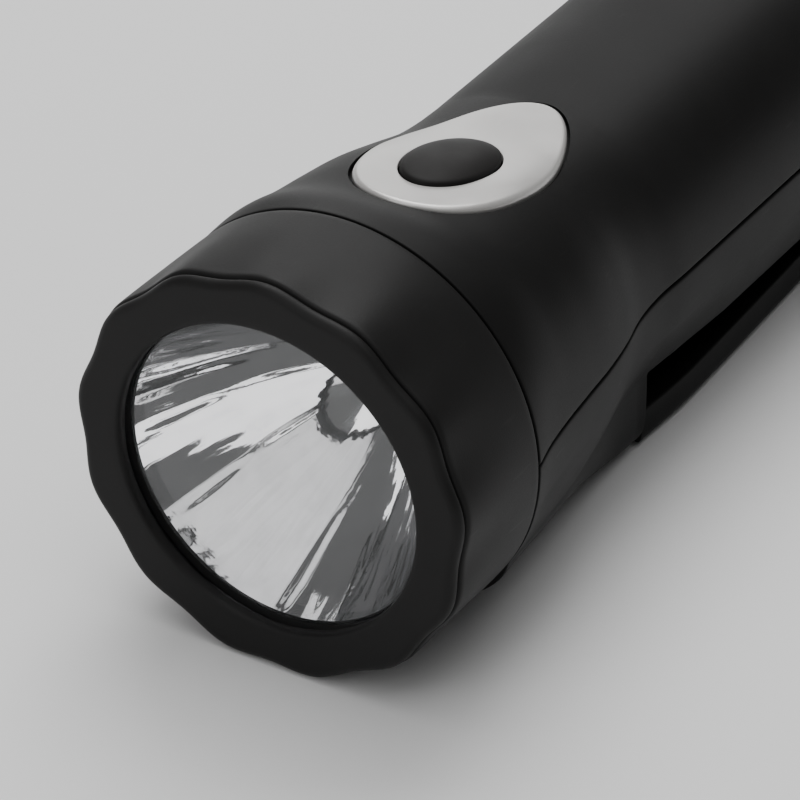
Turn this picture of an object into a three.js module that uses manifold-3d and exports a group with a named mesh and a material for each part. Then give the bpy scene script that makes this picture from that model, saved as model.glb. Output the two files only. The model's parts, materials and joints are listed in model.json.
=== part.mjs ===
// A hand crank torch, piece by piece, as it comes apart on a bench.
// Millimetres, +Z up. The torch lies on its side: its axis runs along +Y and the light shines
// towards -Y. Places below are measured from the middle of the bezel's front face. At the end
// the whole group is moved so that its origin lies on the ground under the middle of the torch.
import * as THREE from 'three';
import { mergeVertices } from 'three/addons/utils/BufferGeometryUtils.js';
import Module from 'manifold-3d';

const wasm = await Module();
wasm.setup();

// Whole torch
const SEAM_RADIUS = 27.4; // of bezel and body where they meet, and what the torch rests on
const WALL = 2; // of the body shells
const PARTING_HEIGHT = 1; // of the joint between upper and lower shell above the axis
const CLEARANCE = 0.3; // between pieces that touch or run in each other
const OVERRUN = 1; // how far a cut runs past what it cuts

// Bezel and lens
const BEZEL_LENGTH = 18.95;
const LOBE_RISE = 0.6; // of the bezel's lobes above the seam's radius
const LOBE_COUNT = 13;
const SCALLOP_DEPTH = 0.75;
const LIP_ROUND = 1.2;
const LIP_WIDTH = 2.6;
const FACE_WIDTH = 6.1; // of the bezel's front face, from the lens out to the seam's radius
const LENS_RECESS = 1.4;
const LENS_RIM = 1.8; // how far the lens reaches under the bezel's inner lip
const LENS_THICKNESS = 1.4;
const GASKET_THICKNESS = 1;
const GASKET_WIDTH = 1.2;

// Reflector and lamp
const REFLECTOR_FLANGE = 1;
const REFLECTOR_SET_IN = 0.1; // of the bowl's mouth behind the lens opening's edge
const REFLECTOR_RIM = 0.4; // wall of the bowl's rim ahead of its flange, inside the gasket
const REFLECTOR_DEPTH = 25;
const REFLECTOR_HOLE_RADIUS = 5.4;
const REFLECTOR_WALL = 1.2;
const COLLAR_LENGTH = 0.3;
const LAMP_RADIUS = 2.5;
const LAMP_FLANGE_RADIUS = 3;
const LAMP_FLANGE = 1;
const LAMP_LENGTH = 3; // of the straight part in front of its flange
const LAMP_SEAT_GAP = 0.8; // between the reflector's collar and the lamp's flange
const LAMP_BOARD_RADIUS = 10.5;
const LAMP_BOARD_THICKNESS = 1.6;
const HEAT_SINK_RADIUS = 12.5;
const HEAT_SINK_THICKNESS = 3.7;
const HEAT_SINK_BORE_RADIUS = 3.5;
const HEAT_SINK_GROOVE_DEPTH = 1.6;
const BULKHEAD = 1.6; // wall across the body that carries the heat sink
const BULKHEAD_HOLE_RADIUS = 9;

// Body
const NECK_SET_IN = 2.8; // of the tube that the bezel turns on, below the seam's radius
const NECK_WALL = 2.2;
const CONE_LENGTH = 46.75; // from the seam to where the handle's straight part starts
const HANDLE_HALF_WIDTH = 20.8;
const HANDLE_HEIGHT = 46.85; // of the handle's top above the ground
const SOFT_EDGE_DEPTH = 7; // of the soft edge along the side, below the axis
const SOFT_EDGE_SET_IN = 0.9;
const FACET_BULGE = 0.4; // of the head's round side past a straight facet
const BAY_HEIGHT = 12.4; // of the crank's bay, and of the crease over it, above the ground
const CREASE_HALF_WIDTH = 17; // along the handle
const NOSE_HALF_WIDTH = 15.9; // of the crease at the front wall of the crank's bay
const NOSE_END_SPACE = 1.3; // between the battery tray and the front wall of the crank's bay
const CREASE_RUN = 20; // over which the crease widens again behind the bay's front wall
const TAIL_LENGTH = 14; // of the rounded end
const HUB_FROM_TAIL = 29;

// Switch plate and button
const PLATE_CENTRE = 28.05; // behind the seam
const PLATE_HALF_LENGTH = 18.9;
const PLATE_HALF_WIDTH = 10.65;
const PLATE_RAISED = 0.4;
const PLATE_SUNK = 0.6;
const PLATE_GAP = 0.45;
const BUTTON_AHEAD = 4.3; // of the button's middle ahead of the plate's
const BUTTON_HALF_LENGTH = 8.5;
const BUTTON_HALF_WIDTH = 5.4;
const BUTTON_GAP = 0.4;
const BUTTON_RIM = -0.3; // above the plate
const BUTTON_DOME = 1.3;
const BUTTON_DEPTH = 5.4; // below the plate's face
const BUTTON_TRAVEL = 1.2;
const BUTTON_FLANGE = 1;
const BUTTON_FLANGE_WIDTH = 1.2;
const PLUNGER_RADIUS = 1.6;
const PLUNGER_LENGTH = 3.6;

// Control board, hung under the sloping top of the body
const BOARD_DEPTH = 12.5; // of its top face below the plate's face
const BOARD_THICKNESS = 1.6;
const BOARD_HALF_WIDTH = 12;
const BOARD_LENGTH = 20.6;
const SWITCH_HALF_SIZE = 3.1;
const SWITCH_HEIGHT = 5;
const SWITCH_FLOOR = 0.8;
const BOARD_POST_RADIUS = 2.2;
const BOARD_SCREW_RADIUS = 0.8;
const BOARD_SCREW_LENGTH = 4;
const BOARD_SCREW_HEAD_RADIUS = 1.6;
const BOARD_SCREW_HEAD = 1;
const BOARD_SCREW_INSET = 2.6;
const CAPACITOR_RADIUS = 4;
const CAPACITOR_LENGTH = 8;
const BRIDGE_HALF_SIZE = 3;
const BRIDGE_HEIGHT = 2.4;

// Battery
const CELL_RADIUS = 7.2;
const CELL_LENGTH = 6.4;
const CELL_COUNT = 3;
const CELL_HEIGHT = 11.9; // of the cells' axis above the ground
const TRAY_END = 0.6;
const TRAY_SIDE = 0.9;
const TRAY_FOOT_HALF_WIDTH = 4.2;
const TRAY_SHOULDER_DEPTH = 4.5; // of the tray's upright sides

// Crank
const ARM_THICKNESS = 5.8;
const ARM_HALF_WIDTH = 15.6;
const ARM_TIP_HALF_WIDTH = 15.2;
const HUB_RADIUS = 13.2;
const ARM_EDGE_BEVEL = 2.3;
const ARM_POCKET_RIM = 2.2;
const ARM_FLOOR = 2;
const SHAFT_RADIUS = 4;
const SHAFT_GEAR_RADIUS = 3;
const SHAFT_TOP_RADIUS = 2;
const SHAFT_SEAT = 2.1; // how far the shaft reaches into the arm
const BUSH_WALL = 1.7;
const BUSH_FLANGE_RADIUS = 7.2;
const BUSH_FLANGE = 0.8;
const CRANK_SCREW_RADIUS = 1.4;
const CRANK_SCREW_LENGTH = 6;
const CRANK_SCREW_HEAD_RADIUS = 4.2;
const CRANK_SCREW_HEAD = 1;

// Folding knob
const PIN_SETBACK = 7.6; // of the fold pin behind the arm's tip
const PIN_HEIGHT = 3.1; // of the fold pin above the ground
const PIN_RADIUS = 1.1;
const PIN_HALF_LENGTH = 8;
const KNOB_OFFSET = 3.1; // of the knob's axis above the fold pin
const KNOB_RADIUS = 4.5;
const KNOB_LENGTH = 30;
const KNOB_START = 5; // of the sleeve behind the fold pin
const KNOB_WINDOW_GAP = 0.6;
const KNOB_STEM_RADIUS = 1.7;
const KNOB_BARREL_RADIUS = 2.6;
const KNOB_COLLAR = 1.6;
const KNOB_COLLAR_RADIUS = 4;
const KNOB_CAP_RADIUS = 3.2;
const KNOB_CAP = 1.2;

// Gear train
const MODULE = 0.75;
const CRANK_TEETH = 36;
const FIRST_PINION_TEETH = 12;
const FIRST_WHEEL_TEETH = 30;
const SECOND_PINION_TEETH = 10;
const SECOND_WHEEL_TEETH = 28;
const ROTOR_TEETH = 10;
const CRANK_GEAR_WIDTH = 3;
const WHEEL_WIDTH = 2;
const WHEEL_SPACING = 1; // between wheels that pass over each other
const BACKLASH = 0.1;
const AXLE_RADIUS = 1;
const AXLE_SINK = 1.3; // of an axle's end in the floor
const AXLE_BOSS_RADIUS = 2.6;
const GEAR_PLATE = 1.4;
const GEAR_PLATE_GAP = 0.4;
const GEAR_PLATE_HALF_WIDTH = 9.2;
const GEAR_PLATE_MARGIN = 2.9;
const GEAR_POST_RADIUS = 2.4;
const GEAR_POST_HALF_SPAN = 6;
const GEAR_POST_FRONT = 17.25; // ahead of the rotor
const GEAR_POST_BACK = 16.5; // behind the hub
const GEAR_SCREW_RADIUS = 0.9;
const GEAR_SCREW_LENGTH = 7;
const GEAR_SCREW_HEAD_RADIUS = 2;
const GEAR_SCREW_HEAD = 1.1;

// Generator
const MAGNET_RADIUS = 5.9;
const CUP_RADIUS = 14;
const CUP_WALL = 0.8;
const GENERATOR_SPACE = 3.55; // between the end of the switch plate and the cups

// Screws that hold the shells together
const SHELL_SCREW_HALF_SPAN = 13.2;
const SHELL_SCREW_FRONT = 12.25; // ahead of the rotor
const SHELL_SCREW_BACK = 17.5; // behind the hub
const SHELL_SCREW_RADIUS = 1.1;
const SHELL_SCREW_REACH = 8; // above the parting
const SHELL_SCREW_HEAD_RADIUS = 2.2;
const SHELL_SCREW_HEAD = 1.3;
const SHELL_BOSS_RADIUS = 3.4;

// Wires
const WIRE_RADIUS = 0.6;
const WIRE_SLACK = 2.5;

// Finenesses of the curved shapes
const ROUND_STEPS = 36;
const SMALL_STEPS = 12;
const STEPS_PER_LOBE = 6;
const TOP_STEPS = 6;
const NOSE_STEPS = 5;
const ARC_STEPS = 72;
const CURVE_STEPS = 8;
const WIRE_SIDES = 6;
const EDGE_STEPS = 3;

// Shapes of the body along its cone: shares of the way from the seam to the handle, then shares
// of the drop from the seam's radius to the handle's half width and height
const coneShares = [
  [0, 1, 1],
  [0.1, 0.82, 0.887],
  [0.21, 0.69, 0.7],
  [0.36, 0.56, 0.6],
  [0.49, 0.455, 0.5],
  [0.615, 0.3, 0.33],
  [0.745, 0.075, 0.165],
  [0.87, -0.015, 0.08],
  [1, 0, 0],
];
// How square the top and the nose get along the cone and the nose
const ROUND_POWER = 2;
const HANDLE_POWER = 2.42;
const NOSE_ROUND_POWER = 1.67;
const NOSE_SQUARE_POWER = 6.7;
const topPowerShares = [[0, 0], [0.1, 0.7], [0.2, 1], [1, 1]];
const nosePowerShares = [[0, 0], [0.24, 0.015], [0.47, 0.045], [0.69, 0.205], [0.85, 0.525], [1, 1]];
const creaseShares = [[0, 1], [0.4, 0.72], [0.66, 0.4], [0.84, 0.14], [1, 0]];
const stationShares = [0, 0.1, 0.2, 0.35, 0.5, 0.62, 0.74, 0.86, 1];
const tailShares = [0, 0.45, 0.75, 0.92, 1];
const TAIL_END_SHARE = 0.45; // of the section that is left at the flat tail end
const PLATE_EGG_SHARE = 0.24; // how much fuller the plate is at its front
const PRESSURE_ANGLE = THREE.MathUtils.degToRad(20);
const PINION_ADDENDUM_SHARE = 1;
const WHEEL_ADDENDUM_SHARE = 0.65;
const ROOT_GAP_SHARE = 0.25;
const armSideShares = [[0.16, 1], [0.34, 0.975], [0.5, 0.945]];
const COIL_SHARE = 0.3844; // of the height over the gear plate that coil and magnet fill
const POCKET_START_SHARE = 0.18;
const POCKET_END_SHARE = 0.72;

// Derived places along the axis, and radii about it
const lobeRadius = SEAM_RADIUS + LOBE_RISE;
const lensOpeningRadius = SEAM_RADIUS - FACE_WIDTH;
const reflectorRadius = lensOpeningRadius - REFLECTOR_SET_IN;
const neckRadius = SEAM_RADIUS - NECK_SET_IN;
const lensFront = LENS_RECESS + CLEARANCE;
const gasketFront = lensFront + LENS_THICKNESS + CLEARANCE;
const mouthFront = gasketFront; // the bowl's rim stands inside the gasket
const flangeFront = gasketFront + GASKET_THICKNESS + CLEARANCE;
const neckFront = flangeFront + REFLECTOR_FLANGE + CLEARANCE;
const lensRadius = lensOpeningRadius + LENS_RIM;
const seam = BEZEL_LENGTH + CLEARANCE;
const collarEnd = mouthFront + REFLECTOR_DEPTH + COLLAR_LENGTH;
const lampFlangeFront = collarEnd + LAMP_SEAT_GAP;
const lampBoardFront = lampFlangeFront + LAMP_FLANGE + CLEARANCE;
const heatSinkFront = lampBoardFront + LAMP_BOARD_THICKNESS + CLEARANCE;
const bulkheadFront = heatSinkFront + HEAT_SINK_THICKNESS + CLEARANCE;
const bulkheadBack = bulkheadFront + BULKHEAD;
const handleStart = seam + CONE_LENGTH;
const plateY = seam + PLATE_CENTRE;
const buttonY = plateY - BUTTON_AHEAD;
const rotorY = plateY + PLATE_HALF_LENGTH + GENERATOR_SPACE + CUP_RADIUS;
const secondGearY = rotorY + (MODULE * (SECOND_WHEEL_TEETH + ROTOR_TEETH)) / 2;
const firstGearY = secondGearY + (MODULE * (FIRST_WHEEL_TEETH + SECOND_PINION_TEETH)) / 2;
const hubY = firstGearY + (MODULE * (CRANK_TEETH + FIRST_PINION_TEETH)) / 2;
const torchLength = hubY + HUB_FROM_TAIL;
const tailStart = torchLength - TAIL_LENGTH;
const trayFront = bulkheadBack + CLEARANCE;
const firstCell = trayFront + TRAY_END + CLEARANCE;
const lastCell = firstCell + CELL_COUNT * (CELL_LENGTH + CLEARANCE) - CLEARANCE;
const trayBack = lastCell + CLEARANCE + TRAY_END;
const bayFront = trayBack + NOSE_END_SPACE + WALL;
const noseLength = bayFront - seam;
const bayRadius = hubY - bayFront;
const armReach = bayRadius - 2 * CLEARANCE;

// Derived heights
const ground = -SEAM_RADIUS;
const armTop = ground + ARM_THICKNESS;
const bossBottom = armTop + CLEARANCE;
const facetDepth = SEAM_RADIUS - BAY_HEIGHT;
const roof = -facetDepth;
const handleTop = HANDLE_HEIGHT - SEAM_RADIUS;
const cellZ = ground + CELL_HEIGHT;
const floor = roof + WALL;
const bushTop = floor + CLEARANCE + BUSH_FLANGE;
const crankGearBottom = bushTop + CLEARANCE;
const crankGearTop = crankGearBottom + CRANK_GEAR_WIDTH;
const firstWheelBottom = crankGearTop + WHEEL_SPACING;
const firstWheelTop = firstWheelBottom + WHEEL_WIDTH;
const secondWheelBottom = firstWheelTop + WHEEL_SPACING;
const secondWheelTop = secondWheelBottom + WHEEL_WIDTH;
const rotorPinionTop = secondWheelTop + WHEEL_SPACING;
const gearPlateBottom = rotorPinionTop + GEAR_PLATE_GAP;
const gearPlateTop = gearPlateBottom + GEAR_PLATE;
const cupBottom = gearPlateTop + CLEARANCE;
const coilLength = COIL_SHARE * (handleTop - gearPlateTop);
const coilBottom = cupBottom + CUP_WALL + CLEARANCE;
const cupTop = coilBottom + coilLength + CLEARANCE + CUP_WALL;
const cupMiddle = (cupBottom + cupTop) / 2;
const pinZ = ground + PIN_HEIGHT;
const pinY = hubY - armReach + PIN_SETBACK;
const knobZ = pinZ + KNOB_OFFSET;

// Helpers: three.js geometry in, closed solids for joining and cutting out

/** Reads a table of [share, value, ...] rows as a smooth curve. */
function readTable(rows, at, column = 1) {
  let row = 0;
  while (row < rows.length - 2 && at > rows[row + 1][0]) {
    row += 1;
  }
  const slope = (i) => {
    const low = rows[Math.max(i - 1, 0)];
    const high = rows[Math.min(i + 1, rows.length - 1)];
    return (high[column] - low[column]) / (high[0] - low[0]);
  };
  const [from, to] = [rows[row], rows[row + 1]];
  const span = to[0] - from[0];
  const t = THREE.MathUtils.clamp((at - from[0]) / span, 0, 1);
  const rise = to[column] - from[column];
  const bend = t * (1 - t) * ((slope(row) * span - rise) * (1 - t) - (slope(row + 1) * span - rise) * t);
  return from[column] + rise * t + bend;
}

/** Six times the volume inside a triangle list: negative when its faces point inwards. */
function signedVolume(position, index) {
  const [a, b, c] = [new THREE.Vector3(), new THREE.Vector3(), new THREE.Vector3()];
  let total = 0;
  for (let i = 0; i < index.length; i += 3) {
    a.fromBufferAttribute(position, index[i]);
    b.fromBufferAttribute(position, index[i + 1]);
    c.fromBufferAttribute(position, index[i + 2]);
    total += a.dot(b.cross(c));
  }
  return total;
}

/** Turns a closed geometry into a solid that can be joined and cut. */
function solid(geometry) {
  const bare = geometry.clone();
  bare.deleteAttribute('normal');
  bare.deleteAttribute('uv');
  const merged = mergeVertices(bare);
  const all = merged.index.array;
  const kept = [];
  for (let i = 0; i < all.length; i += 3) {
    const [a, b, c] = [all[i], all[i + 1], all[i + 2]];
    if (a !== b && b !== c && c !== a) {
      kept.push(a, b, c);
    }
  }
  if (signedVolume(merged.attributes.position, kept) < 0) {
    kept.reverse();
  }
  return new wasm.Manifold(new wasm.Mesh({
    numProp: 3,
    vertProperties: new Float32Array(merged.attributes.position.array),
    triVerts: new Uint32Array(kept),
  }));
}

/** Names a solid and gives it its material. */
function piece(name, body, material) {
  const { vertProperties, triVerts } = body.getMesh();
  const geometry = new THREE.BufferGeometry();
  geometry.setAttribute('position', new THREE.BufferAttribute(new Float32Array(vertProperties), 3));
  geometry.setIndex(new THREE.BufferAttribute(new Uint32Array(triVerts), 1));
  geometry.computeVertexNormals();
  const mesh = new THREE.Mesh(geometry, material);
  mesh.name = name;
  return mesh;
}

/** A box between two corners. */
function block([x0, y0, z0], [x1, y1, z1]) {
  const box = new THREE.BoxGeometry(x1 - x0, y1 - y0, z1 - z0);
  box.translate((x0 + x1) / 2, (y0 + y1) / 2, (z0 + z1) / 2);
  return solid(box);
}

/** A round rod along x, y or z, with the two other coordinates of its axis in their usual order. */
function rod(axis, radius, from, to, [u, v] = [0, 0], steps = SMALL_STEPS) {
  const cylinder = new THREE.CylinderGeometry(radius, radius, to - from, steps);
  const middle = (from + to) / 2;
  if (axis === 'x') {
    cylinder.rotateZ(Math.PI / 2).translate(middle, u, v);
  } else if (axis === 'y') {
    cylinder.translate(u, middle, v);
  } else {
    cylinder.rotateX(Math.PI / 2).translate(u, v, middle);
  }
  return solid(cylinder);
}

/** A solid turned about the y axis from a closed outline of [radius, y] points. */
function turned(outline, steps = ROUND_STEPS) {
  const points = outline.map(([radius, y]) => new THREE.Vector2(radius, y));
  const onAxis = outline[0][0] === 0 && outline.at(-1)[0] === 0;
  return solid(new THREE.LatheGeometry(onAxis ? points : [...points, points[0].clone()], steps));
}

/** The same, about an upright axis at [x, y], from [radius, z] points. */
function turnedUpright(outline, [x, y] = [0, 0], steps = ROUND_STEPS) {
  return turned(outline, steps).rotate([90, 0, 0]).mirror([0, 1, 0]).translate([x, y, 0]);
}

/** An outline in plan, extruded between two heights. */
function prism(shape, bottom, top, options = {}) {
  const geometry = new THREE.ExtrudeGeometry(shape, {
    depth: top - bottom, bevelEnabled: false, curveSegments: CURVE_STEPS, ...options,
  });
  return solid(geometry.translate(0, 0, bottom));
}

/** A skin over rows of points, each row closed on itself, with flat ends. Seen against the way
 * that the rows follow each other, a row runs anticlockwise in the plane that flatten gives. */
function loft(rows, flatten) {
  const count = rows[0].length;
  const index = [];
  for (let row = 0; row + 1 < rows.length; row += 1) {
    for (let i = 0; i < count; i += 1) {
      const a = row * count + i;
      const b = row * count + ((i + 1) % count);
      index.push(a, b, b + count, a, b + count, a + count);
    }
  }
  const last = (rows.length - 1) * count;
  for (const [a, b, c] of THREE.ShapeUtils.triangulateShape(rows[0].map(flatten), [])) {
    index.push(a, c, b);
  }
  for (const [a, b, c] of THREE.ShapeUtils.triangulateShape(rows.at(-1).map(flatten), [])) {
    index.push(last + a, last + b, last + c);
  }
  const geometry = new THREE.BufferGeometry();
  geometry.setAttribute('position', new THREE.Float32BufferAttribute(rows.flat(2), 3));
  geometry.setIndex(index);
  return solid(geometry);
}

/** A thin wire through a list of points. */
function wire(points) {
  const path = new THREE.CatmullRomCurve3(points.map((point) => new THREE.Vector3(...point)));
  const section = new THREE.Shape();
  for (let i = 0; i < WIRE_SIDES; i += 1) {
    const angle = (i / WIRE_SIDES) * 2 * Math.PI;
    const [x, y] = [WIRE_RADIUS * Math.cos(angle), WIRE_RADIUS * Math.sin(angle)];
    if (i === 0) {
      section.moveTo(x, y);
    } else {
      section.lineTo(x, y);
    }
  }
  return solid(new THREE.ExtrudeGeometry(section, { extrudePath: path, steps: CURVE_STEPS }));
}

// Outer shape of the body

/** The body's section at a distance behind the front face, set in by a wall. */
function bodySection(y, inset) {
  const alongCone = THREE.MathUtils.clamp((y - seam) / CONE_LENGTH, 0, 1);
  const alongNose = THREE.MathUtils.clamp((y - seam) / noseLength, 0, 1);
  const behindBay = THREE.MathUtils.clamp((y - bayFront) / CREASE_RUN, 0, 1);
  const alongTail = THREE.MathUtils.clamp((y - tailStart) / TAIL_LENGTH, 0, 1);
  const scale = Math.sqrt(1 - (1 - TAIL_END_SHARE ** 2) * alongTail ** 2);
  const side = halfWidth(alongCone) - inset;
  const top = handleTop + (SEAM_RADIUS - handleTop) * readTable(coneShares, alongCone, 2) - inset;
  const power = ROUND_POWER + (HANDLE_POWER - ROUND_POWER) * readTable(topPowerShares, alongCone);
  const seamCrease = Math.sqrt(SEAM_RADIUS ** 2 - facetDepth ** 2);
  const narrowing = seamCrease - NOSE_HALF_WIDTH;
  const creaseAhead = NOSE_HALF_WIDTH + narrowing * readTable(creaseShares, alongNose);
  const crease = creaseAhead + (CREASE_HALF_WIDTH - NOSE_HALF_WIDTH) * behindBay - inset;
  const nosePower = NOSE_ROUND_POWER
    + (NOSE_SQUARE_POWER - NOSE_ROUND_POWER) * readTable(nosePowerShares, alongNose);
  const noseDepth = SEAM_RADIUS - facetDepth - CLEARANCE * Math.min(alongNose * NOSE_STEPS, 1) - inset;
  const softEdge = side - SOFT_EDGE_SET_IN;
  const bulge = FACET_BULGE * (1 - alongCone);
  const half = [];
  for (let i = 0; i <= TOP_STEPS; i += 1) {
    const angle = (i / TOP_STEPS) * (Math.PI / 2);
    half.push([side * Math.sin(angle) ** (2 / power), top * Math.max(Math.cos(angle), 0) ** (2 / power)]);
  }
  half[TOP_STEPS][1] = 0;
  half.push([side - SOFT_EDGE_SET_IN / 4, -SOFT_EDGE_DEPTH / 2]);
  half.push([softEdge, -SOFT_EDGE_DEPTH]);
  half.push([(softEdge + crease) / 2 + bulge, -(SOFT_EDGE_DEPTH + facetDepth) / 2]);
  half.push([crease, -facetDepth]);
  for (let i = 1; i <= NOSE_STEPS; i += 1) {
    const angle = (i / NOSE_STEPS) * (Math.PI / 2);
    const across = crease * Math.max(Math.cos(angle), 0) ** (2 / nosePower);
    half.push([across, -facetDepth - noseDepth * Math.sin(angle) ** (2 / nosePower)]);
  }
  half[0][0] = 0;
  half.at(-1)[0] = 0;
  const mirrored = half.slice(1, -1).reverse().map(([x, z]) => [-x, z]);
  return [...half, ...mirrored].map(([x, z]) => [x * scale, y, z * scale]);
}

/** Half the body's width, by the share of the cone that has passed. */
function halfWidth(alongCone) {
  return HANDLE_HALF_WIDTH + (SEAM_RADIUS - HANDLE_HALF_WIDTH) * readTable(coneShares, alongCone);
}

/** The body's outer shape, set in by a wall, between two distances behind the front face. */
function bodySolid(inset, from = seam, to = torchLength) {
  const stations = [
    ...stationShares.map((share) => seam + CONE_LENGTH * share),
    bayFront + CREASE_RUN,
    ...tailShares.map((share) => tailStart + TAIL_LENGTH * share),
  ];
  const inside = stations.filter((y) => y > from + OVERRUN / 2 && y < to - OVERRUN / 2);
  const rows = [from, ...inside, to].map((y) => bodySection(y, inset));
  return loft(rows, ([x, , z]) => new THREE.Vector2(z, x));
}

/** The space that the crank's arm sweeps under the handle, grown by a wall. */
function bay(wall = 0) {
  return rod('z', bayRadius + wall, ground - 2 * OVERRUN, roof + wall, [0, hubY], ARC_STEPS);
}

/** The egg-shaped outline of the switch plate, grown by a gap. */
function plateOutline(gap) {
  const shape = new THREE.Shape();
  for (let i = 0; i < ROUND_STEPS; i += 1) {
    const angle = (i / ROUND_STEPS) * 2 * Math.PI;
    const fuller = 1 - PLATE_EGG_SHARE * Math.cos(angle);
    const x = (PLATE_HALF_WIDTH + gap) * Math.sin(angle) * fuller;
    const y = plateY + (PLATE_HALF_LENGTH + gap) * Math.cos(angle);
    if (i === 0) {
      shape.moveTo(x, y);
    } else {
      shape.lineTo(x, y);
    }
  }
  return prism(shape, 0, lobeRadius + OVERRUN);
}

// The switch sits square to the sloping top of the body: its own frame
const topAt = (y) => handleTop
  + (SEAM_RADIUS - handleTop) * readTable(coneShares, (y - seam) / CONE_LENGTH, 2);
const slope = Math.atan2(
  topAt(buttonY - BUTTON_HALF_WIDTH) - topAt(buttonY + BUTTON_HALF_WIDTH),
  2 * BUTTON_HALF_WIDTH,
);
const switchFrame = new THREE.Group();
switchFrame.position.set(0, buttonY, topAt(buttonY) + PLATE_RAISED);
switchFrame.rotation.x = -slope;
const boardLean = (BOARD_DEPTH + BOARD_THICKNESS) * Math.sin(slope);
const boardFront = (bulkheadBack + 2 * CLEARANCE - buttonY + boardLean) / Math.cos(slope);
const boardBack = boardFront + BOARD_LENGTH;

/** Moves a solid from the switch's frame to the torch's. */
function fromSwitch(body) {
  const { position } = switchFrame;
  return body.rotate([-THREE.MathUtils.radToDeg(slope), 0, 0]).translate(position.toArray());
}

/** An upright oval prism in the switch's frame. */
function oval(halfLength, halfWidthHere, bottom, top) {
  const shape = new THREE.Shape();
  shape.absellipse(0, 0, halfWidthHere, halfLength, 0, 2 * Math.PI);
  return prism(shape, bottom, top);
}

// Materials
const finish = (color, roughness, metalness = 0) => new THREE.MeshStandardMaterial({
  color, roughness, metalness,
});
const materials = {
  shell: finish(0x242424, 0.55),
  bezel: finish(0x1d1d1d, 0.5),
  button: finish(0x1a1a1a, 0.7),
  rubber: finish(0x101010, 0.9),
  plate: finish(0xbcbab7, 0.35, 0.9),
  chrome: finish(0xe8e8e8, 0.08, 1),
  lens: finish(0xe6eef2, 0.05),
  lamp: finish(0xf2e8b0, 0.2),
  aluminium: finish(0xa8abad, 0.4, 1),
  steel: finish(0x9a9a98, 0.35, 1),
  magnet: finish(0x3a3a3c, 0.6),
  copper: finish(0xb4672d, 0.4, 0.9),
  brass: finish(0xc0a050, 0.35, 1),
  gear: finish(0xe6e2d6, 0.5),
  board: finish(0x1e5a32, 0.6),
  component: finish(0x2a2a30, 0.5),
  cell: finish(0xc4c6c8, 0.3, 0.9),
  tray: finish(0x38383a, 0.6),
  wire: finish(0xa02020, 0.6),
};

// Bezel with its lens

/** The bezel: a fluted ring whose scallops fade towards the seam. */
function bezelRing() {
  const threadRadius = neckRadius + CLEARANCE;
  const pocketRadius = lensRadius + CLEARANCE;
  const outer = [
    [lobeRadius - LIP_ROUND, 0, 1],
    [lobeRadius - LIP_ROUND / 3, LIP_ROUND / 3, 1],
    [lobeRadius, LIP_ROUND, 1],
    [lobeRadius, LIP_WIDTH, 1],
    [(2 * lobeRadius + SEAM_RADIUS) / 3, BEZEL_LENGTH / 2, 1 / 2],
    [SEAM_RADIUS, BEZEL_LENGTH, 0],
  ];
  const inner = [
    [threadRadius, BEZEL_LENGTH, 0],
    [threadRadius, neckFront - CLEARANCE, 0],
    [pocketRadius, neckFront - CLEARANCE, 0],
    [pocketRadius, LENS_RECESS, 0],
    [lensOpeningRadius, LENS_RECESS, 0],
    [lensOpeningRadius, LIP_ROUND / 2, 0],
    [lensOpeningRadius + LIP_ROUND / 2, 0, 0],
  ];
  const outline = [...outer, ...inner];
  const steps = LOBE_COUNT * STEPS_PER_LOBE;
  const positions = [];
  const index = [];
  for (let turn = 0; turn < steps; turn += 1) {
    const angle = (turn / steps) * 2 * Math.PI;
    const valley = (1 - Math.cos(LOBE_COUNT * angle)) / 2;
    outline.forEach(([radius, y, share], i) => {
      const here = radius - SCALLOP_DEPTH * share * valley;
      positions.push(here * Math.sin(angle), y, here * Math.cos(angle));
      const next = (i + 1) % outline.length;
      const [a, b] = [turn * outline.length + i, turn * outline.length + next];
      const nextRing = ((turn + 1) % steps) * outline.length;
      const [c, d] = [nextRing + i, nextRing + next];
      index.push(a, b, d, a, d, c);
    });
  }
  const geometry = new THREE.BufferGeometry();
  geometry.setAttribute('position', new THREE.Float32BufferAttribute(positions, 3));
  geometry.setIndex(index);
  return solid(geometry);
}

function headPieces() {
  const gasketInner = lensRadius - GASKET_WIDTH;
  return [
    piece('bezel_ring', bezelRing(), materials.bezel),
    piece(
      'lens',
      rod('y', lensRadius, lensFront, lensFront + LENS_THICKNESS, [0, 0], ROUND_STEPS),
      materials.lens,
    ),
    piece('lens_gasket', turned([
      [gasketInner, gasketFront],
      [lensRadius, gasketFront],
      [lensRadius, gasketFront + GASKET_THICKNESS],
      [gasketInner, gasketFront + GASKET_THICKNESS],
    ]), materials.rubber),
  ];
}

// Reflector, lamp, its board and heat sink

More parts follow.
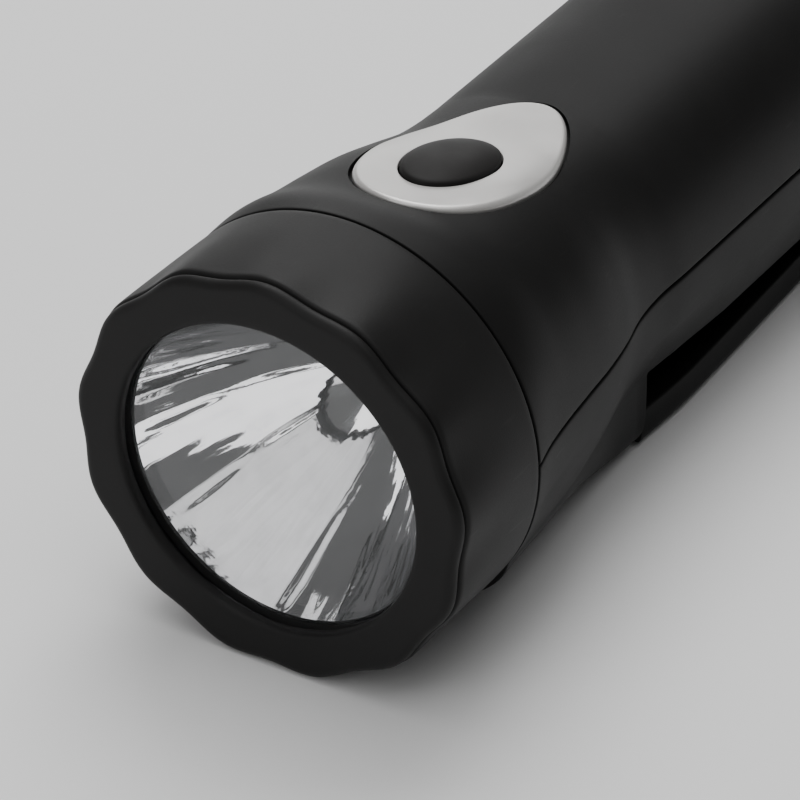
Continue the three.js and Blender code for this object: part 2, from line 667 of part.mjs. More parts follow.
/** The reflector: a thin bowl of parabolic section with a rim and flange in front, a collar behind. */
function reflector() {
  const spread = (reflectorRadius ** 2 - REFLECTOR_HOLE_RADIUS ** 2) / REFLECTOR_DEPTH;
  const bowlRadius = (depth) => Math.sqrt(reflectorRadius ** 2 - spread * depth);
  const bowl = (wall) => {
    const rows = [];
    for (let i = 0; i <= CURVE_STEPS; i += 1) {
      const depth = (i / CURVE_STEPS) * REFLECTOR_DEPTH;
      rows.push([bowlRadius(depth) + wall, mouthFront + depth]);
    }
    return rows;
  };
  const flangeBack = flangeFront + REFLECTOR_FLANGE;
  const inside = bowl(0);
  const outside = bowl(REFLECTOR_WALL).filter(([, y]) => y > flangeBack + OVERRUN / 2);
  return turned([
    ...inside,
    [REFLECTOR_HOLE_RADIUS, collarEnd],
    [REFLECTOR_HOLE_RADIUS + REFLECTOR_WALL, collarEnd],
    ...outside.reverse(),
    [bowlRadius(flangeBack - mouthFront) + REFLECTOR_WALL, flangeBack],
    [lensRadius, flangeBack],
    [lensRadius, flangeFront],
    [reflectorRadius + REFLECTOR_RIM, flangeFront],
    [reflectorRadius + REFLECTOR_RIM, mouthFront],
  ]);
}

function lampPieces() {
  const lampFront = lampFlangeFront - LAMP_LENGTH;
  const dome = [];
  for (let i = 0; i <= TOP_STEPS / 2; i += 1) {
    const angle = (i / (TOP_STEPS / 2)) * (Math.PI / 2);
    dome.push([LAMP_RADIUS * Math.sin(angle), lampFront - LAMP_RADIUS * Math.cos(angle)]);
  }
  dome[0][0] = 0;
  const lampBack = lampFlangeFront + LAMP_FLANGE;
  const sinkBack = heatSinkFront + HEAT_SINK_THICKNESS;
  const [finOuter, finInner] = [HEAT_SINK_RADIUS * 2 / 3, HEAT_SINK_RADIUS / 2];
  return [
    piece('reflector', reflector(), materials.chrome),
    piece('led_emitter', turned([
      ...dome,
      [LAMP_RADIUS, lampFlangeFront],
      [LAMP_FLANGE_RADIUS, lampFlangeFront],
      [LAMP_FLANGE_RADIUS, lampBack],
      [0, lampBack],
    ], SMALL_STEPS), materials.lamp),
    piece('led_board', rod('y', LAMP_BOARD_RADIUS, lampBoardFront, lampBoardFront + LAMP_BOARD_THICKNESS,
      [0, 0], ROUND_STEPS), materials.board),
    piece('led_heat_sink', turned([
      [HEAT_SINK_BORE_RADIUS, heatSinkFront],
      [HEAT_SINK_RADIUS, heatSinkFront],
      [HEAT_SINK_RADIUS, sinkBack],
      [finOuter, sinkBack],
      [finOuter, sinkBack - HEAT_SINK_GROOVE_DEPTH],
      [finInner, sinkBack - HEAT_SINK_GROOVE_DEPTH],
      [finInner, sinkBack],
      [HEAT_SINK_BORE_RADIUS, sinkBack],
    ], ROUND_STEPS / 2), materials.aluminium),
  ];
}

// Body shells

const shellScrewPlaces = [rotorY - SHELL_SCREW_FRONT, hubY + SHELL_SCREW_BACK].flatMap((y) => [
  [-SHELL_SCREW_HALF_SPAN, y],
  [SHELL_SCREW_HALF_SPAN, y],
]);
const gearPostPlaces = [rotorY - GEAR_POST_FRONT, hubY + GEAR_POST_BACK].flatMap((y) => [
  [-GEAR_POST_HALF_SPAN, y],
  [GEAR_POST_HALF_SPAN, y],
]);
const boardPostPlaces = [-1, 1].map((side) => [
  side * (BOARD_HALF_WIDTH - BOARD_SCREW_INSET),
  boardBack - BOARD_SCREW_INSET,
]);
const axlePlaces = [
  [firstGearY, crankGearBottom],
  [secondGearY, firstWheelBottom],
  [rotorY, secondWheelBottom],
];

/** Both shells in one piece, hollow, before they are parted. */
function wholeShell() {
  const neck = rod('y', neckRadius, neckFront, seam + WALL, [0, 0], ROUND_STEPS);
  const boreRadius = neckRadius - NECK_WALL;
  const bore = rod('y', boreRadius, neckFront - OVERRUN, seam + 2 * WALL, [0, 0], ROUND_STEPS);
  const bulkhead = block(
    [-SEAM_RADIUS, bulkheadFront, -SEAM_RADIUS],
    [SEAM_RADIUS, bulkheadBack, SEAM_RADIUS],
  ).subtract(rod('y', BULKHEAD_HOLE_RADIUS, bulkheadFront - OVERRUN, bulkheadBack + OVERRUN));
  const hollow = bodySolid(WALL, seam + WALL, torchLength - WALL).subtract(bay(WALL)).subtract(bulkhead);
  const recess = plateOutline(PLATE_GAP)
    .subtract(bodySolid(PLATE_SUNK + CLEARANCE, seam, handleStart + 2 * WALL));
  const opening = fromSwitch(oval(BUTTON_HALF_LENGTH + BUTTON_GAP, BUTTON_HALF_WIDTH + BUTTON_GAP,
    -BUTTON_DEPTH - OVERRUN, BUTTON_DOME + OVERRUN));
  const flangeSpace = fromSwitch(oval(
    BUTTON_HALF_LENGTH + BUTTON_FLANGE_WIDTH + BUTTON_GAP,
    BUTTON_HALF_WIDTH + BUTTON_FLANGE_WIDTH + BUTTON_GAP,
    -BUTTON_DEPTH - BUTTON_TRAVEL - CLEARANCE,
    -BUTTON_DEPTH + BUTTON_FLANGE + CLEARANCE,
  ));
  return bodySolid(0).subtract(bay()).add(neck).subtract(hollow).subtract(bore)
    .subtract(recess).subtract(opening).subtract(flangeSpace);
}

/** Everything above or below the parting plane. */
function halfSpace(above) {
  const gap = CLEARANCE / 2;
  const [bottom, top] = above
    ? [PARTING_HEIGHT + gap, lobeRadius + OVERRUN]
    : [-lobeRadius - OVERRUN, PARTING_HEIGHT - gap];
  return block([-lobeRadius, -OVERRUN, bottom], [lobeRadius, torchLength + OVERRUN, top]);
}

function upperShell(whole) {
  let shell = whole.intersect(halfSpace(true));
  const inside = bodySolid(WALL / 2).intersect(halfSpace(true));
  for (const [x, y] of shellScrewPlaces) {
    shell = shell.add(rod('z', SHELL_BOSS_RADIUS, PARTING_HEIGHT, SEAM_RADIUS, [x, y]).intersect(inside));
  }
  for (const place of boardPostPlaces) {
    const post = fromSwitch(rod('z', BOARD_POST_RADIUS, -BOARD_DEPTH + CLEARANCE, 0, place));
    shell = shell.add(post.intersect(inside));
  }
  for (const [x, y] of shellScrewPlaces) {
    const top = PARTING_HEIGHT + SHELL_SCREW_REACH + OVERRUN;
    shell = shell.subtract(rod('z', SHELL_SCREW_RADIUS + CLEARANCE, 0, top, [x, y]));
  }
  for (const place of boardPostPlaces) {
    const bottom = -BOARD_DEPTH - OVERRUN;
    const top = -BOARD_DEPTH - BOARD_THICKNESS + BOARD_SCREW_LENGTH + OVERRUN / 2;
    shell = shell.subtract(fromSwitch(rod('z', BOARD_SCREW_RADIUS + CLEARANCE, bottom, top, place)));
  }
  return shell;
}

function lowerShell(whole) {
  let shell = whole.intersect(halfSpace(false));
  const inside = bodySolid(0).subtract(bay()).intersect(halfSpace(false));
  const hub = [0, hubY];
  const middle = (roof + floor) / 2;
  shell = shell.add(rod('z', HUB_RADIUS, bossBottom, middle, hub, ROUND_STEPS));
  for (const [x, y] of shellScrewPlaces) {
    shell = shell.add(rod('z', SHELL_BOSS_RADIUS, roof, PARTING_HEIGHT, [x, y]).intersect(inside));
  }
  for (const place of gearPostPlaces) {
    shell = shell.add(rod('z', GEAR_POST_RADIUS, middle, gearPlateBottom - CLEARANCE, place));
  }
  for (const [y, top] of axlePlaces) {
    shell = shell.add(rod('z', AXLE_BOSS_RADIUS, middle, top - CLEARANCE, [0, y]));
    shell = shell.subtract(rod('z', AXLE_RADIUS + CLEARANCE, floor - AXLE_SINK, top, [0, y]));
  }
  for (const place of gearPostPlaces) {
    const bottom = gearPlateTop + CLEARANCE - GEAR_SCREW_LENGTH - OVERRUN;
    shell = shell.subtract(rod('z', GEAR_SCREW_RADIUS + CLEARANCE, bottom, gearPlateTop, place));
  }
  for (const place of shellScrewPlaces) {
    shell = shell.subtract(rod('z', SHELL_SCREW_RADIUS + CLEARANCE, roof, PARTING_HEIGHT, place));
    const headTop = roof + SHELL_SCREW_HEAD + CLEARANCE;
    shell = shell.subtract(rod('z', SHELL_SCREW_HEAD_RADIUS + CLEARANCE, roof - OVERRUN, headTop, place));
  }
  const bushRadius = SHAFT_RADIUS + CLEARANCE + BUSH_WALL;
  return shell.subtract(rod('z', bushRadius + CLEARANCE, ground, floor + OVERRUN, hub, ROUND_STEPS / 2));
}

function shellScrew(number, [x, y]) {
  const headBottom = roof + CLEARANCE / 2;
  const body = turnedUpright([
    [0, headBottom],
    [SHELL_SCREW_HEAD_RADIUS, headBottom],
    [SHELL_SCREW_HEAD_RADIUS, headBottom + SHELL_SCREW_HEAD - CLEARANCE / 2],
    [SHELL_SCREW_RADIUS, headBottom + SHELL_SCREW_HEAD - CLEARANCE / 2],
    [SHELL_SCREW_RADIUS, PARTING_HEIGHT + SHELL_SCREW_REACH],
    [0, PARTING_HEIGHT + SHELL_SCREW_REACH],
  ], [x, y], SMALL_STEPS);
  return piece(`shell_screw_${number}`, body, materials.steel);
}

function housingPieces() {
  const whole = wholeShell();
  const plate = bodySolid(-PLATE_RAISED, seam, handleStart + 2 * WALL)
    .intersect(plateOutline(0))
    .subtract(bodySolid(PLATE_SUNK, seam, handleStart + 2 * WALL))
    .subtract(fromSwitch(oval(BUTTON_HALF_LENGTH + BUTTON_GAP, BUTTON_HALF_WIDTH + BUTTON_GAP,
      -BUTTON_DEPTH, BUTTON_DOME + OVERRUN)));
  return [
    piece('upper_shell', upperShell(whole), materials.shell),
    piece('lower_shell', lowerShell(whole), materials.shell),
    piece('switch_plate', plate, materials.plate),
    ...shellScrewPlaces.map((place, i) => shellScrew(i + 1, place)),
  ];
}

// Switch and control board, in the switch's frame

function switchPieces() {
  const squash = BUTTON_HALF_WIDTH / BUTTON_HALF_LENGTH;
  const domeRows = [];
  for (let i = 0; i <= TOP_STEPS / 2; i += 1) {
    const angle = (i / (TOP_STEPS / 2)) * (Math.PI / 2);
    domeRows.push([BUTTON_HALF_LENGTH * Math.cos(angle), BUTTON_RIM + BUTTON_DOME * Math.sin(angle)]);
  }
  domeRows.at(-1)[0] = 0;
  const flangeRadius = BUTTON_HALF_LENGTH + BUTTON_FLANGE_WIDTH;
  const button = turnedUpright([
    [0, -BUTTON_DEPTH],
    [flangeRadius, -BUTTON_DEPTH],
    [flangeRadius, -BUTTON_DEPTH + BUTTON_FLANGE],
    [BUTTON_HALF_LENGTH, -BUTTON_DEPTH + BUTTON_FLANGE],
    ...domeRows,
  ]).scale([squash, 1, 1]);
  const plungerTop = -BUTTON_DEPTH - CLEARANCE;
  const boardTop = -BOARD_DEPTH;
  const boardBottom = boardTop - BOARD_THICKNESS;
  const housingBottom = boardTop + CLEARANCE;
  const switchY = boardFront + SWITCH_HALF_SIZE;
  const housing = block(
    [-SWITCH_HALF_SIZE, boardFront, housingBottom],
    [SWITCH_HALF_SIZE, boardFront + 2 * SWITCH_HALF_SIZE, housingBottom + SWITCH_HEIGHT],
  ).subtract(rod('z', PLUNGER_RADIUS + CLEARANCE, housingBottom + SWITCH_FLOOR,
    housingBottom + SWITCH_HEIGHT + OVERRUN, [0, switchY]));
  let board = block(
    [-BOARD_HALF_WIDTH, boardFront, boardBottom],
    [BOARD_HALF_WIDTH, boardBack, boardTop],
  );
  for (const place of boardPostPlaces) {
    board = board.subtract(rod('z', BOARD_SCREW_RADIUS + CLEARANCE, boardBottom - OVERRUN,
      boardTop + OVERRUN, place));
  }
  const underBoard = boardBottom - CLEARANCE;
  const screws = boardPostPlaces.map((place, i) => piece(`board_screw_${i + 1}`, turnedUpright([
    [0, underBoard - BOARD_SCREW_HEAD],
    [BOARD_SCREW_HEAD_RADIUS, underBoard - BOARD_SCREW_HEAD],
    [BOARD_SCREW_HEAD_RADIUS, underBoard],
    [BOARD_SCREW_RADIUS, underBoard],
    [BOARD_SCREW_RADIUS, underBoard + BOARD_SCREW_LENGTH],
    [0, underBoard + BOARD_SCREW_LENGTH],
  ], place, SMALL_STEPS), materials.steel));
  const partX = BOARD_HALF_WIDTH / 2;
  const bridgeY = boardBack / 3;
  return [
    piece('switch_button', button, materials.button),
    piece('switch_plunger', rod('z', PLUNGER_RADIUS, plungerTop - PLUNGER_LENGTH, plungerTop,
      [0, switchY]), materials.gear),
    piece('switch_housing', housing, materials.component),
    piece('control_board', board, materials.board),
    piece('storage_capacitor', rod('z', CAPACITOR_RADIUS, underBoard - CAPACITOR_LENGTH, underBoard,
      [-partX, bridgeY]), materials.component),
    piece('rectifier_bridge', block(
      [partX - BRIDGE_HALF_SIZE, bridgeY - BRIDGE_HALF_SIZE, underBoard - BRIDGE_HEIGHT],
      [partX + BRIDGE_HALF_SIZE, bridgeY + BRIDGE_HALF_SIZE, underBoard],
    ), materials.component),
    ...screws,
  ];
}

// Battery in its tray, inside the nose

function batteryPieces() {
  const cellPlace = [0, cellZ];
  const trayHalfWidth = CELL_RADIUS + CLEARANCE + TRAY_SIDE;
  const trayFoot = ground + WALL + 3 * CLEARANCE;
  const shape = new THREE.Shape();
  shape.moveTo(-trayHalfWidth, cellZ);
  shape.lineTo(-trayHalfWidth, cellZ - TRAY_SHOULDER_DEPTH);
  shape.lineTo(-TRAY_FOOT_HALF_WIDTH, trayFoot);
  shape.lineTo(TRAY_FOOT_HALF_WIDTH, trayFoot);
  shape.lineTo(trayHalfWidth, cellZ - TRAY_SHOULDER_DEPTH);
  shape.lineTo(trayHalfWidth, cellZ);
  const tray = prism(shape, -trayBack, -trayFront).rotate([90, 0, 0])
    .subtract(rod('y', CELL_RADIUS + CLEARANCE, trayFront + TRAY_END, trayBack - TRAY_END, cellPlace,
      ROUND_STEPS / 2));
  const cells = [];
  for (let i = 0; i < CELL_COUNT; i += 1) {
    const from = firstCell + i * (CELL_LENGTH + CLEARANCE);
    const cell = rod('y', CELL_RADIUS, from, from + CELL_LENGTH, cellPlace, ROUND_STEPS / 2);
    cells.push(piece(`battery_cell_${i + 1}`, cell, materials.cell));
  }
  return [piece('battery_tray', tray, materials.tray), ...cells];
}

// Gears

/** A spur gear between two heights, with a tooth or a gap facing +Y or -Y. */
function gear(teeth, addendumShare, [x, y], bottom, top, { boreRadius, facing, gap = false }) {
  const pitchRadius = (MODULE * teeth) / 2;
  const baseRadius = pitchRadius * Math.cos(PRESSURE_ANGLE);
  const tipRadius = pitchRadius + addendumShare * MODULE;
  const mateShare = addendumShare === WHEEL_ADDENDUM_SHARE ? PINION_ADDENDUM_SHARE : WHEEL_ADDENDUM_SHARE;
  const rootRadius = pitchRadius - (mateShare + ROOT_GAP_SHARE) * MODULE;
  const involute = (angle) => Math.tan(angle) - angle;
  const thickness = (MODULE * Math.PI) / 2 - BACKLASH;
  const halfAngle = (radius) => {
    const pressure = Math.acos(Math.min(baseRadius / radius, 1));
    return thickness / 2 / pitchRadius + involute(PRESSURE_ANGLE) - involute(pressure);
  };
  const start = (facing * Math.PI) / 2 + (gap ? Math.PI / teeth : 0);
  const shape = new THREE.Shape();
  for (let tooth = 0; tooth < teeth; tooth += 1) {
    const middle = start + (tooth / teeth) * 2 * Math.PI;
    const corners = [
      [rootRadius, -halfAngle(rootRadius)],
      [tipRadius, -halfAngle(tipRadius)],
      [tipRadius, halfAngle(tipRadius)],
      [rootRadius, halfAngle(rootRadius)],
    ];
    corners.forEach(([radius, angle], i) => {
      const point = [radius * Math.cos(middle + angle), radius * Math.sin(middle + angle)];
      if (tooth === 0 && i === 0) {
        shape.moveTo(...point);
      } else {
        shape.lineTo(...point);
      }
    });
  }
  return prism(shape, bottom, top).translate([x, y, 0])
    .subtract(rod('z', boreRadius, bottom - OVERRUN, top + OVERRUN, [x, y]));
}

function gearPieces() {
  const wheel = (teeth, y, bottom, top, options) => gear(
    teeth, WHEEL_ADDENDUM_SHARE, [0, y], bottom, top, options,
  );
  const pinion = (teeth, y, bottom, top) => gear(
    teeth, PINION_ADDENDUM_SHARE, [0, y], bottom, top,
    { boreRadius: AXLE_RADIUS + CLEARANCE, facing: 1, gap: true },
  );
  const onAxle = { boreRadius: AXLE_RADIUS + CLEARANCE, facing: -1 };
  const onShaft = { boreRadius: SHAFT_GEAR_RADIUS + CLEARANCE, facing: -1 };
  const compound1 = wheel(FIRST_WHEEL_TEETH, firstGearY, firstWheelBottom, firstWheelTop, onAxle)
    .add(pinion(FIRST_PINION_TEETH, firstGearY, crankGearBottom, firstWheelTop));
  const compound2 = wheel(SECOND_WHEEL_TEETH, secondGearY, secondWheelBottom, secondWheelTop, onAxle)
    .add(pinion(SECOND_PINION_TEETH, secondGearY, firstWheelBottom, secondWheelTop));
  const axle = (y, top) => rod('z', AXLE_RADIUS, floor - AXLE_SINK + CLEARANCE, top, [0, y]);
  return [
    piece('crank_gear', wheel(CRANK_TEETH, hubY, crankGearBottom, crankGearTop, onShaft), materials.gear),
    piece('compound_gear_1', compound1, materials.gear),
    piece('compound_gear_2', compound2, materials.gear),
    piece('gear_axle_1', axle(firstGearY, gearPlateTop), materials.steel),
    piece('gear_axle_2', axle(secondGearY, gearPlateTop), materials.steel),
    piece(
      'rotor_pinion',
      pinion(ROTOR_TEETH, rotorY, secondWheelBottom, rotorPinionTop),
      materials.brass,
    ),
    piece('gearbox_plate', gearPlate(), materials.aluminium),
    ...gearPostPlaces.map((place, i) => gearScrew(i + 1, place)),
  ];
}

/** The plate over the gears, with holes for the axles, the crank's shaft and its screws. */
function gearPlate() {
  const front = rotorY - GEAR_POST_FRONT - GEAR_PLATE_MARGIN;
  const back = hubY + GEAR_POST_BACK + GEAR_PLATE_MARGIN;
  let plate = block(
    [-GEAR_PLATE_HALF_WIDTH, front, gearPlateBottom],
    [GEAR_PLATE_HALF_WIDTH, back, gearPlateTop],
  );
  const holes = [
    ...axlePlaces.map(([y]) => [[0, y], AXLE_RADIUS]),
    ...gearPostPlaces.map((place) => [place, GEAR_SCREW_RADIUS]),
    [[0, hubY], SHAFT_TOP_RADIUS],
  ];
  const [drillStart, drillEnd] = [gearPlateBottom - OVERRUN, gearPlateTop + OVERRUN];
  for (const [place, radius] of holes) {
    plate = plate.subtract(rod('z', radius + CLEARANCE, drillStart, drillEnd, place));
  }
  return plate;
}

function gearScrew(number, place) {
  const seat = gearPlateTop + CLEARANCE;
  return piece(`gearbox_screw_${number}`, turnedUpright([
    [0, seat - GEAR_SCREW_LENGTH],
    [GEAR_SCREW_RADIUS, seat - GEAR_SCREW_LENGTH],
    [GEAR_SCREW_RADIUS, seat],
    [GEAR_SCREW_HEAD_RADIUS, seat],
    [GEAR_SCREW_HEAD_RADIUS, seat + GEAR_SCREW_HEAD],
    [0, seat + GEAR_SCREW_HEAD],
  ], place, SMALL_STEPS), materials.steel);
}

// Generator above the gear plate

function generatorPieces() {
  const place = [0, rotorY];
  const shaftHole = AXLE_RADIUS + CLEARANCE;
  const poleInner = MAGNET_RADIUS + CLEARANCE;
  const poleOuter = poleInner + CUP_WALL;
  const cupInner = CUP_RADIUS - CUP_WALL;
  const cup = (base, towards) => {
    const inside = base + towards * CUP_WALL;
    const edge = cupMiddle - (towards * CLEARANCE) / 2;
    return turnedUpright([
      [shaftHole, base],
      [CUP_RADIUS, base],
      [CUP_RADIUS, edge],
      [cupInner, edge],
      [cupInner, inside],
      [poleOuter, inside],
      [poleOuter, edge],
      [poleInner, edge],
      [poleInner, inside],
      [shaftHole, inside],
    ], place, ROUND_STEPS / 2);
  };
  const coilInner = poleOuter + CLEARANCE;
  const coilOuter = cupInner - CLEARANCE;
  const coil = turnedUpright([
    [coilInner, coilBottom],
    [coilOuter, coilBottom],
    [coilOuter, coilBottom + coilLength],
    [coilInner, coilBottom + coilLength],
  ], place, ROUND_STEPS / 2);
  const magnet = rod('z', MAGNET_RADIUS, coilBottom, coilBottom + coilLength, place, ROUND_STEPS / 2)
    .subtract(rod('z', AXLE_RADIUS + CLEARANCE, cupBottom, cupTop, place));
  const shaftBottom = floor - AXLE_SINK + CLEARANCE;
  return [
    piece('stator_cup_lower', cup(cupBottom, 1), materials.steel),
    piece('stator_cup_upper', cup(cupTop, -1), materials.steel),
    piece('stator_coil', coil, materials.copper),
    piece('rotor_magnet', magnet, materials.magnet),
    piece('rotor_shaft', rod('z', AXLE_RADIUS, shaftBottom, cupTop, place), materials.steel),
  ];
}

// Crank arm with its shaft, bush and screw

/** The arm's plan about the hub, anticlockwise: round the hub, out to the tip and back. */
function armOutline() {
  const tipAngle = Math.asin(ARM_TIP_HALF_WIDTH / armReach);
  const tipY = armReach * Math.cos(tipAngle);
  const widths = [
    [0, ARM_TIP_HALF_WIDTH],
    ...armSideShares.map(([along, share]) => [along, share * ARM_HALF_WIDTH]),
    [1, HUB_RADIUS],
  ];
  const side = [];
  for (let i = 1; i < CURVE_STEPS; i += 1) {
    side.push([readTable(widths, i / CURVE_STEPS), -tipY * (1 - i / CURVE_STEPS)]);
  }
  const arc = (radius, from, to) => {
    const points = [];
    for (let i = 0; i <= CURVE_STEPS; i += 1) {
      const angle = from + ((to - from) * i) / CURVE_STEPS;
      points.push([radius * Math.cos(angle), radius * Math.sin(angle)]);
    }
    return points;
  };
  return [
    ...arc(HUB_RADIUS, 0, Math.PI),
    ...side.toReversed().map(([x, y]) => [-x, y]),
    ...arc(armReach, -Math.PI / 2 - tipAngle, -Math.PI / 2 + tipAngle),
    ...side,
  ];
}

/** The arm's plan drawn in by a distance, at a height. */
function armRow(outline, inset, z) {
  return outline.map(([x, y], i) => {
    const [beforeX, beforeY] = outline.at(i - 1);
    const [afterX, afterY] = outline[(i + 1) % outline.length];
    const along = new THREE.Vector2(afterX - beforeX, afterY - beforeY).normalize();
    return [x - along.y * inset, y + along.x * inset + hubY, z];
  });
}

function crankArm() {
  const outline = armOutline();
  const rows = [];
  for (let i = 0; i <= EDGE_STEPS; i += 1) {
    const angle = (i / EDGE_STEPS) * (Math.PI / 2);
    const inset = ARM_EDGE_BEVEL * (1 - Math.sin(angle));
    rows.push(armRow(outline, inset, ground + ARM_EDGE_BEVEL * (1 - Math.cos(angle))));
  }
  rows.push(armRow(outline, 0, armTop));
  const arm = loft(rows, ([x, y]) => new THREE.Vector2(x, y));
  const pocketHalfWidth = ARM_TIP_HALF_WIDTH - ARM_POCKET_RIM;
  const pocket = block(
    [-pocketHalfWidth, hubY - armReach * (1 - POCKET_START_SHARE), ground + ARM_FLOOR],
    [pocketHalfWidth, hubY - armReach * (1 - POCKET_END_SHARE), armTop + OVERRUN],
  );
  const knobReach = Math.hypot(KNOB_START + KNOB_LENGTH, KNOB_OFFSET + KNOB_RADIUS);
  const windowHalfWidth = KNOB_RADIUS + KNOB_WINDOW_GAP;
  const window = block(
    [-windowHalfWidth, pinY - KNOB_BARREL_RADIUS - KNOB_WINDOW_GAP, ground - OVERRUN],
    [windowHalfWidth, pinY + knobReach + KNOB_WINDOW_GAP, armTop + OVERRUN],
  );
  const pinReach = PIN_HALF_LENGTH + CLEARANCE;
  const hub = [0, hubY];
  const shaftBottom = armTop - SHAFT_SEAT - CLEARANCE;
  const headTop = ground + CRANK_SCREW_HEAD + 2 * CLEARANCE;
  const headHole = CRANK_SCREW_HEAD_RADIUS + CLEARANCE;
  return arm.subtract(pocket).subtract(window)
    .subtract(rod('x', PIN_RADIUS + CLEARANCE, -pinReach, pinReach, [pinY, pinZ]))
    .subtract(rod('z', SHAFT_RADIUS + CLEARANCE, shaftBottom, armTop + OVERRUN, hub, ROUND_STEPS / 2))
    .subtract(rod('z', CRANK_SCREW_RADIUS + CLEARANCE, ground - OVERRUN, armTop, hub))
    .subtract(rod('z', headHole, ground - OVERRUN, headTop, hub, ROUND_STEPS / 2));
}

function crankPieces() {
  const hub = [0, hubY];
  const shaftBottom = armTop - SHAFT_SEAT;
  const shaftTop = gearPlateTop;
  const screwBottom = ground + CLEARANCE;
  const seat = screwBottom + CRANK_SCREW_HEAD;
  const boreTop = seat + CRANK_SCREW_LENGTH + OVERRUN;
  const boreRadius = CRANK_SCREW_RADIUS + CLEARANCE;
  const bushInner = SHAFT_RADIUS + CLEARANCE;
  const bushOuter = bushInner + BUSH_WALL;
  const bushSeat = floor + CLEARANCE;
  return [
    piece('crank_arm', crankArm(), materials.shell),
    piece('crank_shaft', turnedUpright([
      [0, boreTop],
      [boreRadius, boreTop],
      [boreRadius, shaftBottom],
      [SHAFT_RADIUS, shaftBottom],
      [SHAFT_RADIUS, crankGearBottom - CLEARANCE],
      [SHAFT_GEAR_RADIUS, crankGearBottom - CLEARANCE],
      [SHAFT_GEAR_RADIUS, crankGearTop],
      [SHAFT_TOP_RADIUS, crankGearTop],
      [SHAFT_TOP_RADIUS, shaftTop],
      [0, shaftTop],
    ], hub, ROUND_STEPS / 2), materials.steel),
    piece('crank_bush', turnedUpright([
      [bushInner, bossBottom],
      [bushOuter, bossBottom],
      [bushOuter, bushSeat],
      [BUSH_FLANGE_RADIUS, bushSeat],
      [BUSH_FLANGE_RADIUS, bushTop],
      [bushInner, bushTop],
    ], hub, ROUND_STEPS / 2), materials.brass),
    piece('crank_screw', turnedUpright([
      [0, screwBottom],
      [CRANK_SCREW_HEAD_RADIUS, screwBottom],
      [CRANK_SCREW_HEAD_RADIUS, seat],
      [CRANK_SCREW_RADIUS, seat],
      [CRANK_SCREW_RADIUS, seat + CRANK_SCREW_LENGTH],
      [0, seat + CRANK_SCREW_LENGTH],
    ], hub, ROUND_STEPS / 2), materials.steel),
  ];
}

// Folding knob, folded into the arm's window

function knobPieces() {
  const knobPlace = [0, knobZ];
  const sleeveStart = pinY + KNOB_START;
  const sleeveEnd = sleeveStart + KNOB_LENGTH;
  const counterbore = KNOB_CAP + 2 * CLEARANCE;
  const stemEnd = sleeveEnd - counterbore;
  const collarBack = sleeveStart - CLEARANCE;
  const boreRadius = KNOB_STEM_RADIUS + CLEARANCE;
  const sleeve = rod('y', KNOB_RADIUS, sleeveStart, sleeveEnd, knobPlace, ROUND_STEPS / 2)
    .subtract(rod('y', boreRadius, sleeveStart - OVERRUN, sleeveEnd, knobPlace))
    .subtract(rod('y', KNOB_CAP_RADIUS + CLEARANCE, stemEnd, sleeveEnd + OVERRUN, knobPlace));
  const pinDrill = KNOB_RADIUS + OVERRUN;
  const post = rod('x', KNOB_BARREL_RADIUS, -KNOB_RADIUS, KNOB_RADIUS, [pinY, pinZ])
    .add(block(
      [-KNOB_BARREL_RADIUS, pinY, pinZ],
      [KNOB_BARREL_RADIUS, collarBack - KNOB_COLLAR / 2, knobZ + KNOB_STEM_RADIUS],
    ))
    .add(rod('y', KNOB_COLLAR_RADIUS, collarBack - KNOB_COLLAR, collarBack, knobPlace))
    .add(rod('y', KNOB_STEM_RADIUS, collarBack - KNOB_COLLAR / 2, stemEnd, knobPlace))
    .subtract(rod('x', PIN_RADIUS + CLEARANCE, -pinDrill, pinDrill, [pinY, pinZ]));
  const capFrom = stemEnd + CLEARANCE;
  return [
    piece(
      'knob_pin',
      rod('x', PIN_RADIUS, -PIN_HALF_LENGTH, PIN_HALF_LENGTH, [pinY, pinZ]),
      materials.steel,
    ),
    piece('knob_post', post, materials.steel),
    piece('knob_sleeve', sleeve, materials.shell),
    piece('knob_cap', rod('y', KNOB_CAP_RADIUS, capFrom, capFrom + KNOB_CAP, knobPlace), materials.steel),
  ];
}

// Wires: from the lamp's board and the battery to the control board, and from the generator to it

function wirePieces() {
  const underBoard = -BOARD_DEPTH - BOARD_THICKNESS - CLEARANCE - WIRE_RADIUS;
  const boardPoint = (y, z) => new THREE.Vector3(0, y, z).applyMatrix4(switchFrame.matrix);
  switchFrame.updateMatrix();
  const lampEnd = boardPoint(boardFront + 2 * WIRE_RADIUS, underBoard);
  const cellEnd = boardPoint(boardBack / 2, underBoard);
  const coilEnd = boardPoint(boardBack + WIRE_RADIUS, -BOARD_DEPTH - BOARD_THICKNESS / 2);
  const sinkBack = heatSinkFront + HEAT_SINK_THICKNESS;
  const cellTop = cellZ + CELL_RADIUS + CLEARANCE;
  const cupFront = rotorY - CUP_RADIUS - CLEARANCE;
  const wires = {
    led_wire: [
      [0, heatSinkFront + CLEARANCE, 0],
      [0, sinkBack, 0],
      [0, lampEnd.y, WIRE_SLACK],
      [0, lampEnd.y, lampEnd.z],
    ],
    battery_wire: [
      [0, cellEnd.y, cellTop],
      [0, cellEnd.y + WIRE_SLACK, (cellTop + cellEnd.z) / 2],
      [0, cellEnd.y, cellEnd.z],
    ],
    generator_wire: [
      [0, cupFront, cupMiddle],
      [0, cupFront - WIRE_SLACK, cupMiddle],
      [0, coilEnd.y + WIRE_SLACK, (cupMiddle + coilEnd.z) / 2],
      [0, coilEnd.y, coilEnd.z],
    ],
  };
  return Object.entries(wires).map(([name, points]) => piece(name, wire(points), materials.wire));
}

